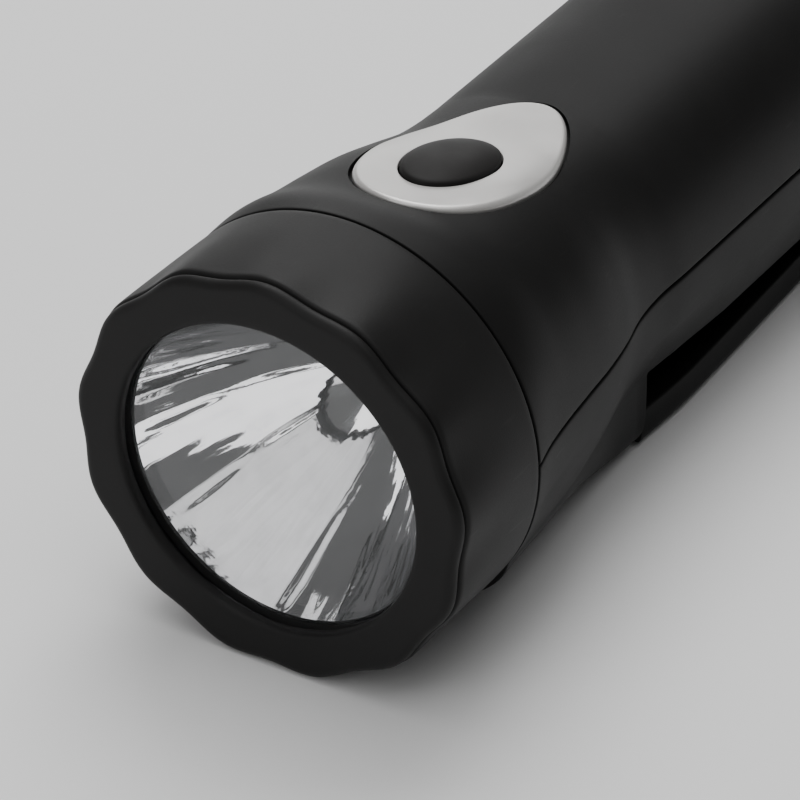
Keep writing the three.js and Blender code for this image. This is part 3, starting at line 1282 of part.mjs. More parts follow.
const torch = new THREE.Group();
torch.add(
  ...headPieces(),
  ...lampPieces(),
  ...housingPieces(),
  ...batteryPieces(),
  ...gearPieces(),
  ...generatorPieces(),
  ...crankPieces(),
  ...knobPieces(),
  ...wirePieces(),
);
switchFrame.add(...switchPieces());
torch.add(switchFrame);
torch.position.set(0, -torchLength / 2, -ground);

export default torch;
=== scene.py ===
"""A hand crank torch in matt black plastic, dressed over its CAD frame.

Shapes are worked out in millimetres in the torch's own frame: y runs from the bezel's front
face back to the tail, and x and z are measured from the torch's axis. Each finished piece is
moved to the CAD frame, in metres, as its last step.
"""
import json
import logging
import math
from dataclasses import dataclass, field
from enum import Enum, IntEnum
from typing import Any, Callable, Sequence

import bmesh
import bpy
import numpy as np
from mathutils import Matrix, Vector


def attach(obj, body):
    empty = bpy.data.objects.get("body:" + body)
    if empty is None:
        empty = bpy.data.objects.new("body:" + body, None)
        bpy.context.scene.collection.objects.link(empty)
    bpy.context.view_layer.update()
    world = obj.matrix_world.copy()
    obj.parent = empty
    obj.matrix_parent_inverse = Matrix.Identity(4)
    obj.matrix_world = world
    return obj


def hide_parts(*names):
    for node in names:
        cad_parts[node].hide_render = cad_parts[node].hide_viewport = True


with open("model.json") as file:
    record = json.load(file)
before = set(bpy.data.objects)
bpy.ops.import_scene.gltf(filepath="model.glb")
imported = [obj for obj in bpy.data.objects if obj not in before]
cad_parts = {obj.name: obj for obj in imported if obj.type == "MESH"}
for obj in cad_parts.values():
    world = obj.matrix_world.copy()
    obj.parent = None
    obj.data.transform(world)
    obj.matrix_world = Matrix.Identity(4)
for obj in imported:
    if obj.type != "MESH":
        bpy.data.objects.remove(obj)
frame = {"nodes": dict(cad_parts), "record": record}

LOG = logging.getLogger("torch")
Colour = tuple[float, float, float]
Table = tuple[tuple[float, ...], ...]
Point = Sequence[float]

METRES = 0.001  # in a millimetre
FULL_TURN = 2 * math.pi
QUARTER_TURN = math.pi / 2
MERGE_DISTANCE = 1e-7  # in metres: nearer vertices of a finished piece become one


class Sides(IntEnum):
    """How many sides a round has, by what it is."""

    BAY = 300
    NECK = 160
    LATHE = 128
    BORE = 120
    HUB = 96
    GRIP = 96
    PIN = 32
    DRILL = 24


class Sharp(IntEnum):
    """The angle in degrees from which a piece's edges are shaded sharp."""

    USUAL = 34
    CASE = 38
    GRIP = 40
    PLATE = 45
    BOWL = 50
    BEZEL = 60


# Solids: closed meshes that are joined to and cut from each other


class Operation(Enum):
    """What one solid does to another."""

    JOIN = "UNION"
    CUT = "DIFFERENCE"
    KEEP = "INTERSECT"


class Axis(Enum):
    """The direction that a turned solid is turned about."""

    X = 0
    Y = 1
    Z = 2


class Solid:
    """A closed mesh in millimetres, before it becomes a piece."""

    def __init__(self, mesh: bpy.types.Mesh) -> None:
        """Wraps a mesh."""
        self.mesh = mesh

    @classmethod
    def from_faces(cls, points: np.ndarray, faces: Sequence[Sequence[int]]) -> "Solid":
        """Makes a solid whose faces point outwards.

        Args:
            points: One row of x, y, z for each vertex.
            faces: The vertex numbers of each face.

        Returns:
            The solid.
        """
        mesh = bpy.data.meshes.new("solid")
        mesh.from_pydata(points.tolist(), [], faces)
        mesh.calc_loop_triangles()
        corners = np.zeros(3 * len(mesh.loop_triangles), np.int32)
        mesh.loop_triangles.foreach_get("vertices", corners)
        a, b, c = (points[corners[i::3]] for i in range(3))
        if float(np.sum(a * np.cross(b, c))) < 0:
            mesh.flip_normals()
        return cls(mesh)

    def moved(self, matrix: Matrix) -> "Solid":
        """Moves the solid by a matrix and returns it."""
        self.mesh.transform(matrix)
        return self

    def combined(self, operation: Operation, *tools: "Solid") -> "Solid":
        """Applies other solids to this one, in order.

        Args:
            operation: What each of the others does.
            *tools: The others.

        Returns:
            A new solid.
        """
        holders = []
        for solid in (self, *tools):
            holder = bpy.data.objects.new("in_work", solid.mesh)
            bpy.context.scene.collection.objects.link(holder)
            holders.append(holder)
        for tool in holders[1:]:
            step = holders[0].modifiers.new("step", "BOOLEAN")
            step.operation = operation.value
            step.solver = "MANIFOLD"
            step.object = tool
        evaluated = holders[0].evaluated_get(bpy.context.evaluated_depsgraph_get())
        result = bpy.data.meshes.new_from_object(evaluated)
        for holder in holders:
            bpy.data.objects.remove(holder)
        return Solid(result)

    def join(self, *tools: "Solid") -> "Solid":
        """This solid with others added."""
        return self.combined(Operation.JOIN, *tools)

    def cut(self, *tools: "Solid") -> "Solid":
        """This solid with others taken away."""
        return self.combined(Operation.CUT, *tools)

    def keep(self, tool: "Solid") -> "Solid":
        """What this solid and another have in common."""
        return self.combined(Operation.KEEP, tool)


def grid_faces(rows: int, columns: int, close_rows: bool) -> list[list[int]]:
    """Quads over rows of points, each row closed on itself.

    Args:
        rows: How many rows there are.
        columns: How many points each row has.
        close_rows: Whether the last row joins the first.

    Returns:
        The vertex numbers of each quad.
    """
    row = np.arange(rows if close_rows else rows - 1)[:, None]
    column = np.arange(columns)[None, :]
    after = (column + 1) % columns
    below = (row + 1) % rows
    quads = np.stack([
        row * columns + column, row * columns + after,
        below * columns + after, below * columns + column,
    ], axis=-1)
    return quads.reshape(-1, 4).tolist()


def loft(rows: np.ndarray, ends: Sequence[Point] | None = None) -> Solid:
    """A skin over closed rows of points, with a fan of triangles over each end.

    Args:
        rows: An array of rows, points and coordinates.
        ends: The middles of the two fans, if they aren't the means of the end rows.

    Returns:
        The solid.
    """
    count, columns = rows.shape[:2]
    if ends is None:
        ends = [rows[0].mean(axis=0), rows[-1].mean(axis=0)]
    points = np.concatenate([rows.reshape(-1, 3), np.array(ends)])
    faces = grid_faces(count, columns, close_rows=False)
    first, last = count * columns, count * columns + 1
    for i in range(columns):
        after = (i + 1) % columns
        faces.append([first, after, i])
        faces.append([last, (count - 1) * columns + i, (count - 1) * columns + after])
    return Solid.from_faces(points, faces)


def closed_ring(rows: np.ndarray) -> Solid:
    """A skin over closed rows of points where the last row joins the first."""
    faces = grid_faces(rows.shape[0], rows.shape[1], close_rows=True)
    return Solid.from_faces(rows.reshape(-1, 3), faces)


def circle_rows(outline: np.ndarray, axis: Axis, centre: Point, steps: int) -> np.ndarray:
    """One circle of points for each point of an outline.

    Args:
        outline: Rows of radius and place along the axis.
        axis: The direction of the axis.
        centre: Where the axis passes, in the two other directions in their usual order.
        steps: Points in a circle.

    Returns:
        An array of rows, points and coordinates.
    """
    angle = np.linspace(0, FULL_TURN, steps, endpoint=False)
    radius, along = outline[:, :1], outline[:, 1:2]
    around = [centre[0] + radius * np.cos(angle), centre[1] + radius * np.sin(angle)]
    around.insert(axis.value, along + 0 * angle)
    return np.stack(around, axis=-1)


def turned(
    outline: Sequence[Point], axis: Axis, centre: Point = (0, 0), steps: int = 64
) -> Solid:
    """A turned solid, from an outline that starts and ends on the axis, or else closes on itself.

    Args:
        outline: Rows of radius and place along the axis.
        axis: The direction of the axis.
        centre: Where the axis passes, in the two other directions in their usual order.
        steps: Points in a circle.

    Returns:
        The solid.
    """
    profile = np.array(outline, float)
    if profile[0, 0] == 0 and profile[-1, 0] == 0:
        rows = circle_rows(profile[1:-1], axis, centre, steps)
        ends = circle_rows(profile[[0, -1]], axis, centre, 1)[:, 0]
        return loft(rows, ends)
    return closed_ring(circle_rows(profile, axis, centre, steps))


def rod(
    axis: Axis, radius: float, start: float, end: float, centre: Point = (0, 0), steps: int = 48
) -> Solid:
    """A round rod along an axis, between two places on it."""
    return turned([(0, start), (radius, start), (radius, end), (0, end)], axis, centre, steps)


def block(low: Point, high: Point) -> Solid:
    """A box between two corners."""
    (x0, y0, z0), (x1, y1, z1) = low, high
    rows = [[(x0, y0, z), (x1, y0, z), (x1, y1, z), (x0, y1, z)] for z in (z0, z1)]
    return loft(np.array(rows, float))


def prism(outline: np.ndarray, bottom: float, top: float) -> Solid:
    """An upright prism over an outline in plan."""
    rows = [np.column_stack([outline, np.full(len(outline), z)]) for z in (bottom, top)]
    return loft(np.array(rows))


def on_skin(angle: np.ndarray, radius: np.ndarray, along: np.ndarray) -> np.ndarray:
    """Points round the torch's axis, from angles, radii and places along it."""
    return np.stack([radius * np.sin(angle), along, radius * np.cos(angle)], axis=-1)


def share_along(at: float, start: float, length: float) -> float:
    """How much of a length has passed at a place, between 0 and 1."""
    return min(max((at - start) / length, 0.0), 1.0)


def resampled(points: np.ndarray, count: int) -> np.ndarray:
    """The same open line through evenly spaced points.

    Args:
        points: The line's points.
        count: How many points the new line has.

    Returns:
        The new points.
    """
    lengths = np.concatenate([[0], np.cumsum(np.hypot(*np.diff(points, axis=0).T))])
    at = np.linspace(0, lengths[-1], count)
    return np.column_stack([np.interp(at, lengths, points[:, i]) for i in range(2)])


def read_table(rows: Table, at: float, column: int = 1) -> float:
    """Reads a table of share and values as a smooth curve, as the CAD source does.

    Args:
        rows: The table.
        at: The share to read it at.
        column: Which value to read.

    Returns:
        The value.
    """
    row = 0
    while row < len(rows) - 2 and at > rows[row + 1][0]:
        row += 1

    def slope(i: int) -> float:
        """How steeply the curve rises at a row."""
        low, high = rows[max(i - 1, 0)], rows[min(i + 1, len(rows) - 1)]
        return (high[column] - low[column]) / (high[0] - low[0])

    start, end = rows[row], rows[row + 1]
    span = end[0] - start[0]
    t = share_along(at, start[0], span)
    rise = end[column] - start[column]
    bend = (slope(row) * span - rise) * (1 - t) - (slope(row + 1) * span - rise) * t
    return start[column] + rise * t + t * (1 - t) * bend


# The torch's sizes and the body's form, as the CAD model has them


@dataclass(frozen=True)
class Torch:
    """Sizes in millimetres that several sub-assemblies share."""

    seam_radius: float = 27.4
    wall: float = 2.0
    clearance: float = 0.3
    overrun: float = 1.0
    parting_height: float = 1.0
    bezel_length: float = 18.95
    lens_opening_radius: float = 21.3
    lens_radius: float = 23.1
    lens_front: float = 1.7
    lens_thickness: float = 1.4
    mouth_front: float = 3.4
    flange_front: float = 4.7
    neck_front: float = 6.0
    neck_radius: float = 24.6
    seam: float = 19.25
    cone_length: float = 46.75
    bulkhead_front: float = 36.7
    bulkhead_back: float = 38.3
    bay_front: float = 63.5
    hub_y: float = 131.0
    rotor_y: float = 83.75
    first_gear_y: float = 113.0
    second_gear_y: float = 98.0
    length: float = 160.0
    ground: float = -27.4
    arm_top: float = -21.6
    roof: float = -15.0
    handle_top: float = 19.45
    crank_gear_bottom: float = -11.6
    first_wheel_bottom: float = -7.6
    second_wheel_bottom: float = -4.6
    gear_plate_bottom: float = -1.2
    gear_plate_top: float = 0.2

    @property
    def floor(self) -> float:
        """The inside face of the lower shell over the crank's bay."""
        return self.roof + self.wall

    @property
    def bay_radius(self) -> float:
        """How far the crank's bay reaches from the crank's shaft."""
        return self.hub_y - self.bay_front

    @property
    def to_frame(self) -> Matrix:
        """From the torch's own frame in millimetres to the CAD frame in metres."""
        move = Matrix.Translation(Vector((0, -self.length / 2, -self.ground)) * METRES)
        return move @ Matrix.Scale(METRES, 4)


TORCH = Torch()


@dataclass(frozen=True)
class BodyForm:
    """The outer form of the body behind the seam."""

    handle_half_width: float = 20.8
    soft_edge_depth: float = 7.0
    soft_edge_set_in: float = 0.9
    facet_bulge: float = 0.4
    crease_half_width: float = 17.0
    nose_half_width: float = 15.9
    crease_run: float = 20.0
    crease_round: float = 0.5
    tail_length: float = 14.0
    tail_end_share: float = 0.45
    round_power: float = 2.0
    handle_power: float = 2.42
    nose_round_power: float = 1.67
    nose_square_power: float = 6.7
    gap_run: float = 0.2  # share of the nose over which it lifts off the ground
    lip_reach: float = 0.7  # of the rounded lips above and below the parting line
    lip_heights: tuple[float, ...] = (0.45, 0.3, 0.2, 0.1)
    lip_depths: tuple[float, ...] = (0.02, 0.08, 0.2, 0.42)
    groove_depth: float = 0.55
    top_points: int = 44  # of half a section, each stretch at full fineness
    side_points: int = 12
    crease_points: int = 6
    nose_points: int = 30
    least_points: int = 4
    top_samples: int = 400  # of the curves that the points are spaced along
    nose_samples: int = 600
    nose_trace: int = 200
    cone_sections: int = 70  # along the body, each stretch at full fineness
    handle_sections: int = 50
    tail_sections: int = 30
    first_space: float = 0.5  # between the first section and the next
    place_digits: int = 6
    last_space: float = 0.01
    seam_lip: Table = ((0, 0.15), (0.04, 0.07), (0.1, 0.02), (0.2, 0))
    cone_shares: Table = (
        (0, 1, 1), (0.1, 0.82, 0.887), (0.21, 0.69, 0.7), (0.36, 0.56, 0.6), (0.49, 0.455, 0.5),
        (0.615, 0.3, 0.33), (0.745, 0.075, 0.165), (0.87, -0.015, 0.08), (1, 0, 0),
    )
    top_power_shares: Table = ((0, 0), (0.1, 0.7), (0.2, 1), (1, 1))
    nose_power_shares: Table = (
        (0, 0), (0.24, 0.015), (0.47, 0.045), (0.69, 0.205), (0.85, 0.525), (1, 1),
    )
    crease_shares: Table = ((0, 1), (0.4, 0.72), (0.66, 0.4), (0.84, 0.14), (1, 0))

    @property
    def facet_depth(self) -> float:
        """The depth of the crease below the axis."""
        return -TORCH.roof

    @property
    def tail_start(self) -> float:
        """Where the rounded tail starts."""
        return TORCH.length - self.tail_length

    def cone_share(self, y: float) -> float:
        """How much of the cone has passed at a place along the axis."""
        return share_along(y, TORCH.seam, TORCH.cone_length)

    def top_form(self, y: float) -> tuple[float, float, float]:
        """The half width, height and squareness of the body's top half.

        Args:
            y: Where, along the axis.

        Returns:
            The half width, the height above the axis and the power of the oval.
        """
        share = self.cone_share(y)
        widening = TORCH.seam_radius - self.handle_half_width
        side = self.handle_half_width + widening * read_table(self.cone_shares, share)
        rise = TORCH.seam_radius - TORCH.handle_top
        top = TORCH.handle_top + rise * read_table(self.cone_shares, share, 2)
        squaring = self.handle_power - self.round_power
        return side, top, self.round_power + squaring * read_table(self.top_power_shares, share)

    def height(self, x: np.ndarray, y: np.ndarray, raised: np.ndarray | float) -> np.ndarray:
        """The height of the body's top over places in plan.

        Args:
            x: Places across.
            y: Places along.
            raised: How far above the body's own skin.

        Returns:
            The heights.
        """
        side, top, power = np.array([self.top_form(value) for value in y.ravel()]).T
        side, top, power = (part.reshape(y.shape) for part in (side, top, power))
        share = np.clip(np.abs(x) / (side + raised), 0, 1)
        return (top + raised) * (1 - share**power) ** (1 / power)

    def half_section(self, y: float, inset: float, fineness: float, lips: bool) -> np.ndarray:
        """Half of the body's section, from the middle of its top to the middle of its bottom.

        Args:
            y: Where, along the axis.
            inset: How far inside the skin.
            fineness: The share of the full number of points.
            lips: Whether the parting line has its rounded lips.

        Returns:
            Rows of x and z.
        """
        side, top, power = self.top_form(y)
        side, top = side - inset, top - inset
        nose_share = share_along(y, TORCH.seam, TORCH.bay_front - TORCH.seam)
        behind_bay = share_along(y, TORCH.bay_front, self.crease_run)
        seam_crease = math.sqrt(TORCH.seam_radius**2 - self.facet_depth**2)
        narrowing = (seam_crease - self.nose_half_width) * read_table(self.crease_shares, nose_share)
        crease = self.nose_half_width + narrowing - inset
        crease += (self.crease_half_width - self.nose_half_width) * behind_bay
        squaring = self.nose_square_power - self.nose_round_power
        squaring *= read_table(self.nose_power_shares, nose_share)
        nose_power = self.nose_round_power + squaring
        lifted = TORCH.clearance * min(nose_share / self.gap_run, 1)
        nose_depth = TORCH.seam_radius - self.facet_depth - lifted - inset

        def side_x(z: np.ndarray) -> np.ndarray:
            """The body's half width at heights about the parting line and below it."""
            above = side * (1 - (np.clip(z, 0, top) / top) ** power) ** (1 / power)
            below = side - self.soft_edge_set_in * (z / self.soft_edge_depth) ** 2
            return np.where(z > 0, above, below)

        def count(full: int) -> int:
            """A number of points at this fineness."""
            return max(int(full * fineness), self.least_points)

        lip_top = TORCH.parting_height + self.lip_reach
        lip_bottom = TORCH.parting_height - self.lip_reach
        angle = np.linspace(0, QUARTER_TURN, self.top_samples)
        heights = top * np.clip(np.cos(angle), 0, 1) ** (2 / power)
        dense = np.column_stack([side * np.sin(angle) ** (2 / power), heights])
        dense = np.vstack([dense[heights > lip_top], [[side_x(np.array(lip_top)), lip_top]]])
        parts = [resampled(dense, count(self.top_points))]
        if lips:
            under = [-height for height in self.lip_heights[::-1]]
            z = TORCH.parting_height + np.array([*self.lip_heights, 0, *under])
            dip = np.array([*self.lip_depths, self.groove_depth, *self.lip_depths[::-1]])
            parts.append(np.column_stack([side_x(z) - dip, z]))
        z = np.linspace(lip_bottom, -self.soft_edge_depth, count(self.side_points))
        parts.append(np.column_stack([side_x(z), z]))
        t = np.linspace(0, 1, count(self.side_points))[1:]
        soft = side - self.soft_edge_set_in
        bulge = self.facet_bulge * (1 - self.cone_share(y))
        facet_x = soft + (crease - soft) * t + 4 * bulge * t * (1 - t)
        facet_z = -self.soft_edge_depth - (self.facet_depth - self.soft_edge_depth) * t
        angle = np.linspace(0, QUARTER_TURN, self.nose_samples)
        nose_x = crease * np.clip(np.cos(angle), 0, 1) ** (2 / nose_power)
        nose_z = -self.facet_depth - nose_depth * np.sin(angle) ** (2 / nose_power)
        nose = resampled(np.column_stack([nose_x, nose_z]), self.nose_trace)
        corner = nose[0]
        before = np.column_stack([facet_x, facet_z])
        before = before[np.hypot(*(before - corner).T) > self.crease_round]
        after = nose[np.hypot(*(nose - corner).T) > self.crease_round]
        facet = np.vstack([parts[-1][-1:], before])
        parts.append(resampled(facet, count(self.side_points))[1:])
        bend = np.linspace(0, 1, count(self.crease_points))[1:-1, None]
        parts.append(
            before[-1] * (1 - bend) ** 2 + 2 * corner * bend * (1 - bend) + after[0] * bend**2)
        parts.append(resampled(after, count(self.nose_points)))
        half = np.vstack(parts)
        half[0, 0] = half[-1, 0] = 0
        return half

    def section(self, y: float, inset: float, fineness: float, lips: bool) -> np.ndarray:
        """The body's whole section, drawn in where the tail rounds off.

        Args:
            y: Where, along the axis.
            inset: How far inside the skin.
            fineness: The share of the full number of points.
            lips: Whether the parting line has its rounded lips.

        Returns:
            Rows of x, y and z, closed on itself.
        """
        half = self.half_section(y, inset, fineness, lips)
        whole = np.vstack([half, half[-2:0:-1] * (-1, 1)])
        tail_share = share_along(y, self.tail_start, self.tail_length)
        scale = math.sqrt(1 - (1 - self.tail_end_share**2) * tail_share**2)
        return np.column_stack([whole[:, 0] * scale, np.full(len(whole), y), whole[:, 1] * scale])

    def solid(
        self, inset: float, start: float | None = None, end: float | None = None,
        fineness: float = 0.4, lips: bool = False,
    ) -> Solid:
        """The body between two places along the axis.

        Args:
            inset: How far inside the skin.
            start: The first place, or None for the seam.
            end: The last place, or None for the tail.
            fineness: The share of the full number of points.
            lips: Whether the parting line and the seam have their rounded lips.

        Returns:
            The solid.
        """
        start = TORCH.seam if start is None else start
        end = TORCH.length if end is None else end
        handle_start = TORCH.seam + TORCH.cone_length

        def spread(first: float, last: float, full: int) -> np.ndarray:
            """Evenly spaced values at this fineness."""
            return np.linspace(first, last, int(full * fineness) + 2)

        round_off = np.sin(spread(0, QUARTER_TURN, self.tail_sections))
        places = np.unique(np.round(np.concatenate([
            spread(TORCH.seam, handle_start, self.cone_sections),
            spread(handle_start, self.tail_start, self.handle_sections),
            self.tail_start + self.tail_length * round_off,
        ]), self.place_digits))
        first = [(start + along, depth) for along, depth in self.seam_lip] if lips else [(start, inset)]
        between = [(y, inset) for y in places
                   if start + self.first_space < y < end - self.last_space]
        return loft(np.array([
            self.section(y, depth, fineness, lips) for y, depth in (*first, *between, (end, inset))]))


BODY = BodyForm()


@dataclass(frozen=True)
class SwitchPlace:
    """Where the switch sits, square to the body's sloping top."""

    plate_y: float = 47.3
    button_y: float = 43.0
    half_span: float = 5.4
    plate_raised: float = 0.4

    @property
    def slope(self) -> float:
        """How far the body's top falls back, as an angle."""
        front = BODY.top_form(self.button_y - self.half_span)[1]
        back = BODY.top_form(self.button_y + self.half_span)[1]
        return math.atan2(front - back, 2 * self.half_span)

    @property
    def matrix(self) -> Matrix:
        """From the switch's frame to the torch's own."""
        top = BODY.top_form(self.button_y)[1] + self.plate_raised
        return Matrix.Translation((0, self.button_y, top)) @ Matrix.Rotation(-self.slope, 4, "X")


SWITCH = SwitchPlace()


# Node trees


class Val:
    """The value of a node's socket, on which Python's operators add Math nodes."""

    def __init__(self, graph: "Graph", socket: bpy.types.NodeSocket) -> None:
        """Wraps an output socket of a graph."""
        self.graph = graph
        self.socket = socket

    def math(self, operation: str, first: Any, second: Any) -> "Val":
        """A Math node on two values."""
        return self.graph.add("ShaderNodeMath", {"operation": operation}, {0: first, 1: second})

    @staticmethod
    def operator(operation: str, reflected: bool = False) -> Callable[["Val", Any], "Val"]:
        """The method behind one of Python's operators."""
        def method(value: "Val", other: Any) -> "Val":
            """Adds the Math node."""
            return value.math(operation, *((other, value) if reflected else (value, other)))

        return method

    __add__, __radd__ = operator("ADD"), operator("ADD", True)
    __sub__, __rsub__ = operator("SUBTRACT"), operator("SUBTRACT", True)
    __mul__, __rmul__ = operator("MULTIPLY"), operator("MULTIPLY", True)
    __truediv__, __pow__ = operator("DIVIDE"), operator("POWER")


class Graph:
    """A node tree in the making."""

    def __init__(self, tree: bpy.types.NodeTree) -> None:
        """Wraps an empty tree."""
        self.tree = tree

    def add(
        self, kind: str, settings: dict[str, Any] | None = None,
        sockets: dict[str | int, Any] | None = None, output: str | int = 0,
    ) -> Val:
        """Adds a node.

        Args:
            kind: The node's type.
            settings: Its settings, and "stops" for the places and colours of a ramp.
            sockets: Values or links for its input sockets, by name or number.
            output: The output socket to return.

        Returns:
            The value of that socket.
        """
        node = self.tree.nodes.new(kind)
        for name, value in (settings or {}).items():
            if name == "stops":
                self.set_stops(node.color_ramp, value)
            else:
                setattr(node, name, value)
        for name, value in (sockets or {}).items():
            for one in value if isinstance(value, list) else [value]:
                if isinstance(one, Val):
                    self.tree.links.new(one.socket, node.inputs[name])
                else:
                    node.inputs[name].default_value = one
        return Val(self, node.outputs[output] if len(node.outputs) else None)

    @staticmethod
    def set_stops(ramp: bpy.types.ColorRamp, stops: Sequence[tuple[float, float]]) -> None:
        """Gives a ramp its places and its grey values."""
        while len(ramp.elements) < len(stops):
            ramp.elements.new(1.0)
        for element, (place, grey) in zip(ramp.elements, stops):
            element.position = place
            element.color = (grey, grey, grey, 1)


class Shader(Graph):
    """The node tree of a material."""

    def __init__(self, name: str) -> None:
        """Starts a material with an empty tree."""
        self.material = bpy.data.materials.new(name)
        self.material.use_nodes = True
        self.material.node_tree.nodes.clear()
        super().__init__(self.material.node_tree)
        place = self.add("ShaderNodeTexCoord", output="Object")
        sockets = {0: place, "Scale": 1 / METRES}
        self.place = self.add("ShaderNodeVectorMath", {"operation": "SCALE"}, sockets)

    def noise(self, size: float, detail: float = 2.0, place: Val | None = None) -> Val:
        """Soft noise between 0 and 1, with its size in millimetres."""
        sockets = {"Vector": place or self.place, "Scale": 1 / size, "Detail": detail}
        return self.add("ShaderNodeTexNoise", sockets=sockets)

    def stretched(self, scale: Colour) -> Val:
        """The place on the object with each direction scaled."""
        return self.add("ShaderNodeMapping", sockets={"Vector": self.place, "Scale": scale})

    def ramp(self, value: Val, *stops: tuple[float, float]) -> Val:
        """A value read through a ramp of greys."""
        return self.add("ShaderNodeValToRGB", {"stops": stops}, {0: value})

    def mixed(self, share: Val | float, first: Any, second: Any) -> Val:
        """Two colours mixed."""
        colours = [c if isinstance(c, Val) else (*c, 1) for c in (first, second)]
        sockets = {0: share, 6: colours[0], 7: colours[1]}  # numbers, because names repeat there
        return self.add("ShaderNodeMix", {"data_type": "RGBA"}, sockets, output=2)

    def swing(self, value: Val, reach: float) -> Val:
        """A value between 0 and 1 as a swing about zero."""
        return (value - 0.5) * reach

    def clouded(self, value: Val, colour: Colour, reach: float) -> Val:
        """A colour that gets darker and lighter with a value."""
        return self.mixed(value, shade(colour, 1 - reach), shade(colour, 1 + reach))

    def bump(self, height: Val, relief: float) -> Val:
        """A normal from a height, with its relief in millimetres."""
        return self.add("ShaderNodeBump", sockets={"Height": height, "Distance": relief * METRES})

    def finish(self, **sockets: Any) -> bpy.types.Material:
        """Ends the tree in one shader.

        Args:
            **sockets: Values or links for its sockets, by name with _ for a space.

        Returns:
            The material.
        """
        named = {name.replace("_", " "): value for name, value in sockets.items()}
        named = {"IOR" if name == "ior" else name: value for name, value in named.items()}
        surface = self.add("ShaderNodeBsdfPrincipled", sockets=named)
        self.add("ShaderNodeOutputMaterial", sockets={"Surface": surface})
        return self.material


def shade(colour: Colour, share: float) -> Colour:
    """A colour made lighter or darker."""
    return tuple(channel * share for channel in colour)


@dataclass(frozen=True)
class MouldedPlastic:
    """Moulded plastic with a fine sparked grain, flow clouds and a few handling marks."""

    name: str
    colour: Colour
    roughness: float = 0.5
    grain: float = 0.22
    relief: float = 0.012
    clouds: float = 9.0
    subsurface: float = 0.0
    specular: float = 0.5
    cloud_tint: float = 0.14
    cloud_gloss: float = 0.1
    grain_gloss: float = 0.12
    mark_size: float = 0.5
    mark_stretch: Colour = (1.0, 0.08, 0.7)
    mark_edges: Table = ((0.7, 0), (0.78, 1))
    mark_share: float = 0.12
    mark_gain: float = 2.2
    mark_gloss: float = 0.04

    def material(self) -> bpy.types.Material:
        """Builds the material."""
        shader = Shader(self.name)
        grain = shader.noise(self.grain, 3.0)
        cloud = shader.noise(self.clouds, 3.0)
        streaks = shader.noise(self.mark_size, 1.0, shader.stretched(self.mark_stretch))
        marks = shader.ramp(streaks, *self.mark_edges)
        tint = shader.clouded(cloud, self.colour, self.cloud_tint)
        gloss = shader.swing(cloud, self.cloud_gloss)
        return shader.finish(
            Base_Color=shader.mixed(marks * self.mark_share, tint, shade(self.colour, self.mark_gain)),
            Roughness=(self.roughness + gloss + shader.swing(grain, self.grain_gloss)
                       - marks * self.mark_gloss),
            Normal=shader.bump(grain, self.relief),
            Subsurface_Weight=self.subsurface,
            Subsurface_Scale=METRES,
            Specular_IOR_Level=self.specular,
        )


@dataclass(frozen=True)
class SoftRubber:
    """Matt rubber with a fine pebbled skin and dust in its hollows."""

    name: str
    colour: Colour
    roughness: float = 0.75
    pebble: float = 0.3
    relief: float = 0.02
    sheen: float = 0.1
    specular: float = 0.5
    dust_size: float = 2.5
    dust_gloss: float = 0.16
    clean_share: float = 0.85
    dusty_gain: float = 1.5

    def material(self) -> bpy.types.Material:
        """Builds the material."""
        shader = Shader(self.name)
        sockets = {"Vector": shader.place, "Scale": 1 / self.pebble}
        pebbles = shader.add("ShaderNodeTexVoronoi", {"feature": "SMOOTH_F1"}, sockets)
        dust = shader.noise(self.dust_size, 4.0)
        clean, dusty = shade(self.colour, self.clean_share), shade(self.colour, self.dusty_gain)
        return shader.finish(
            Base_Color=shader.mixed(dust * pebbles, clean, dusty),
            Roughness=self.roughness + shader.swing(dust, self.dust_gloss),
            Normal=shader.bump(1 - pebbles, self.relief),
            Sheen_Weight=self.sheen,
            Specular_IOR_Level=self.specular,
        )


@dataclass(frozen=True)
class SatinSilver:
    """Satin silver plating: a blasted surface with faint clouds and fine scratches."""

    name: str
    colour: Colour
    roughness: float = 0.34
    metallic: float = 0.45
    blast_size: float = 0.12
    blast_gloss: float = 0.08
    blast_relief: float = 0.004
    cloud_size: float = 5.0
    cloud_tint: float = 0.05
    cloud_gloss: float = 0.06
    scratch_size: float = 0.3
    scratch_stretch: Colour = (1.0, 0.06, 1.0)
    scratch_edges: Table = ((0.66, 0), (0.74, 1))
    scratch_share: float = 0.2
    scratch_gain: float = 1.15

    def material(self) -> bpy.types.Material:
        """Builds the material."""
        shader = Shader(self.name)
        blast = shader.noise(self.blast_size, 2.0)
        cloud = shader.noise(self.cloud_size, 3.0)
        streaks = shader.noise(self.scratch_size, 1.0, shader.stretched(self.scratch_stretch))
        scratch = shader.ramp(streaks, *self.scratch_edges) * self.scratch_share
        tint = shader.clouded(cloud, self.colour, self.cloud_tint)
        gloss = shader.swing(cloud, self.cloud_gloss)
        return shader.finish(
            Base_Color=shader.mixed(scratch, tint, shade(self.colour, self.scratch_gain)),
            Metallic=self.metallic,
            Roughness=self.roughness + gloss + shader.swing(blast, self.blast_gloss),
            Normal=shader.bump(blast, self.blast_relief),
        )


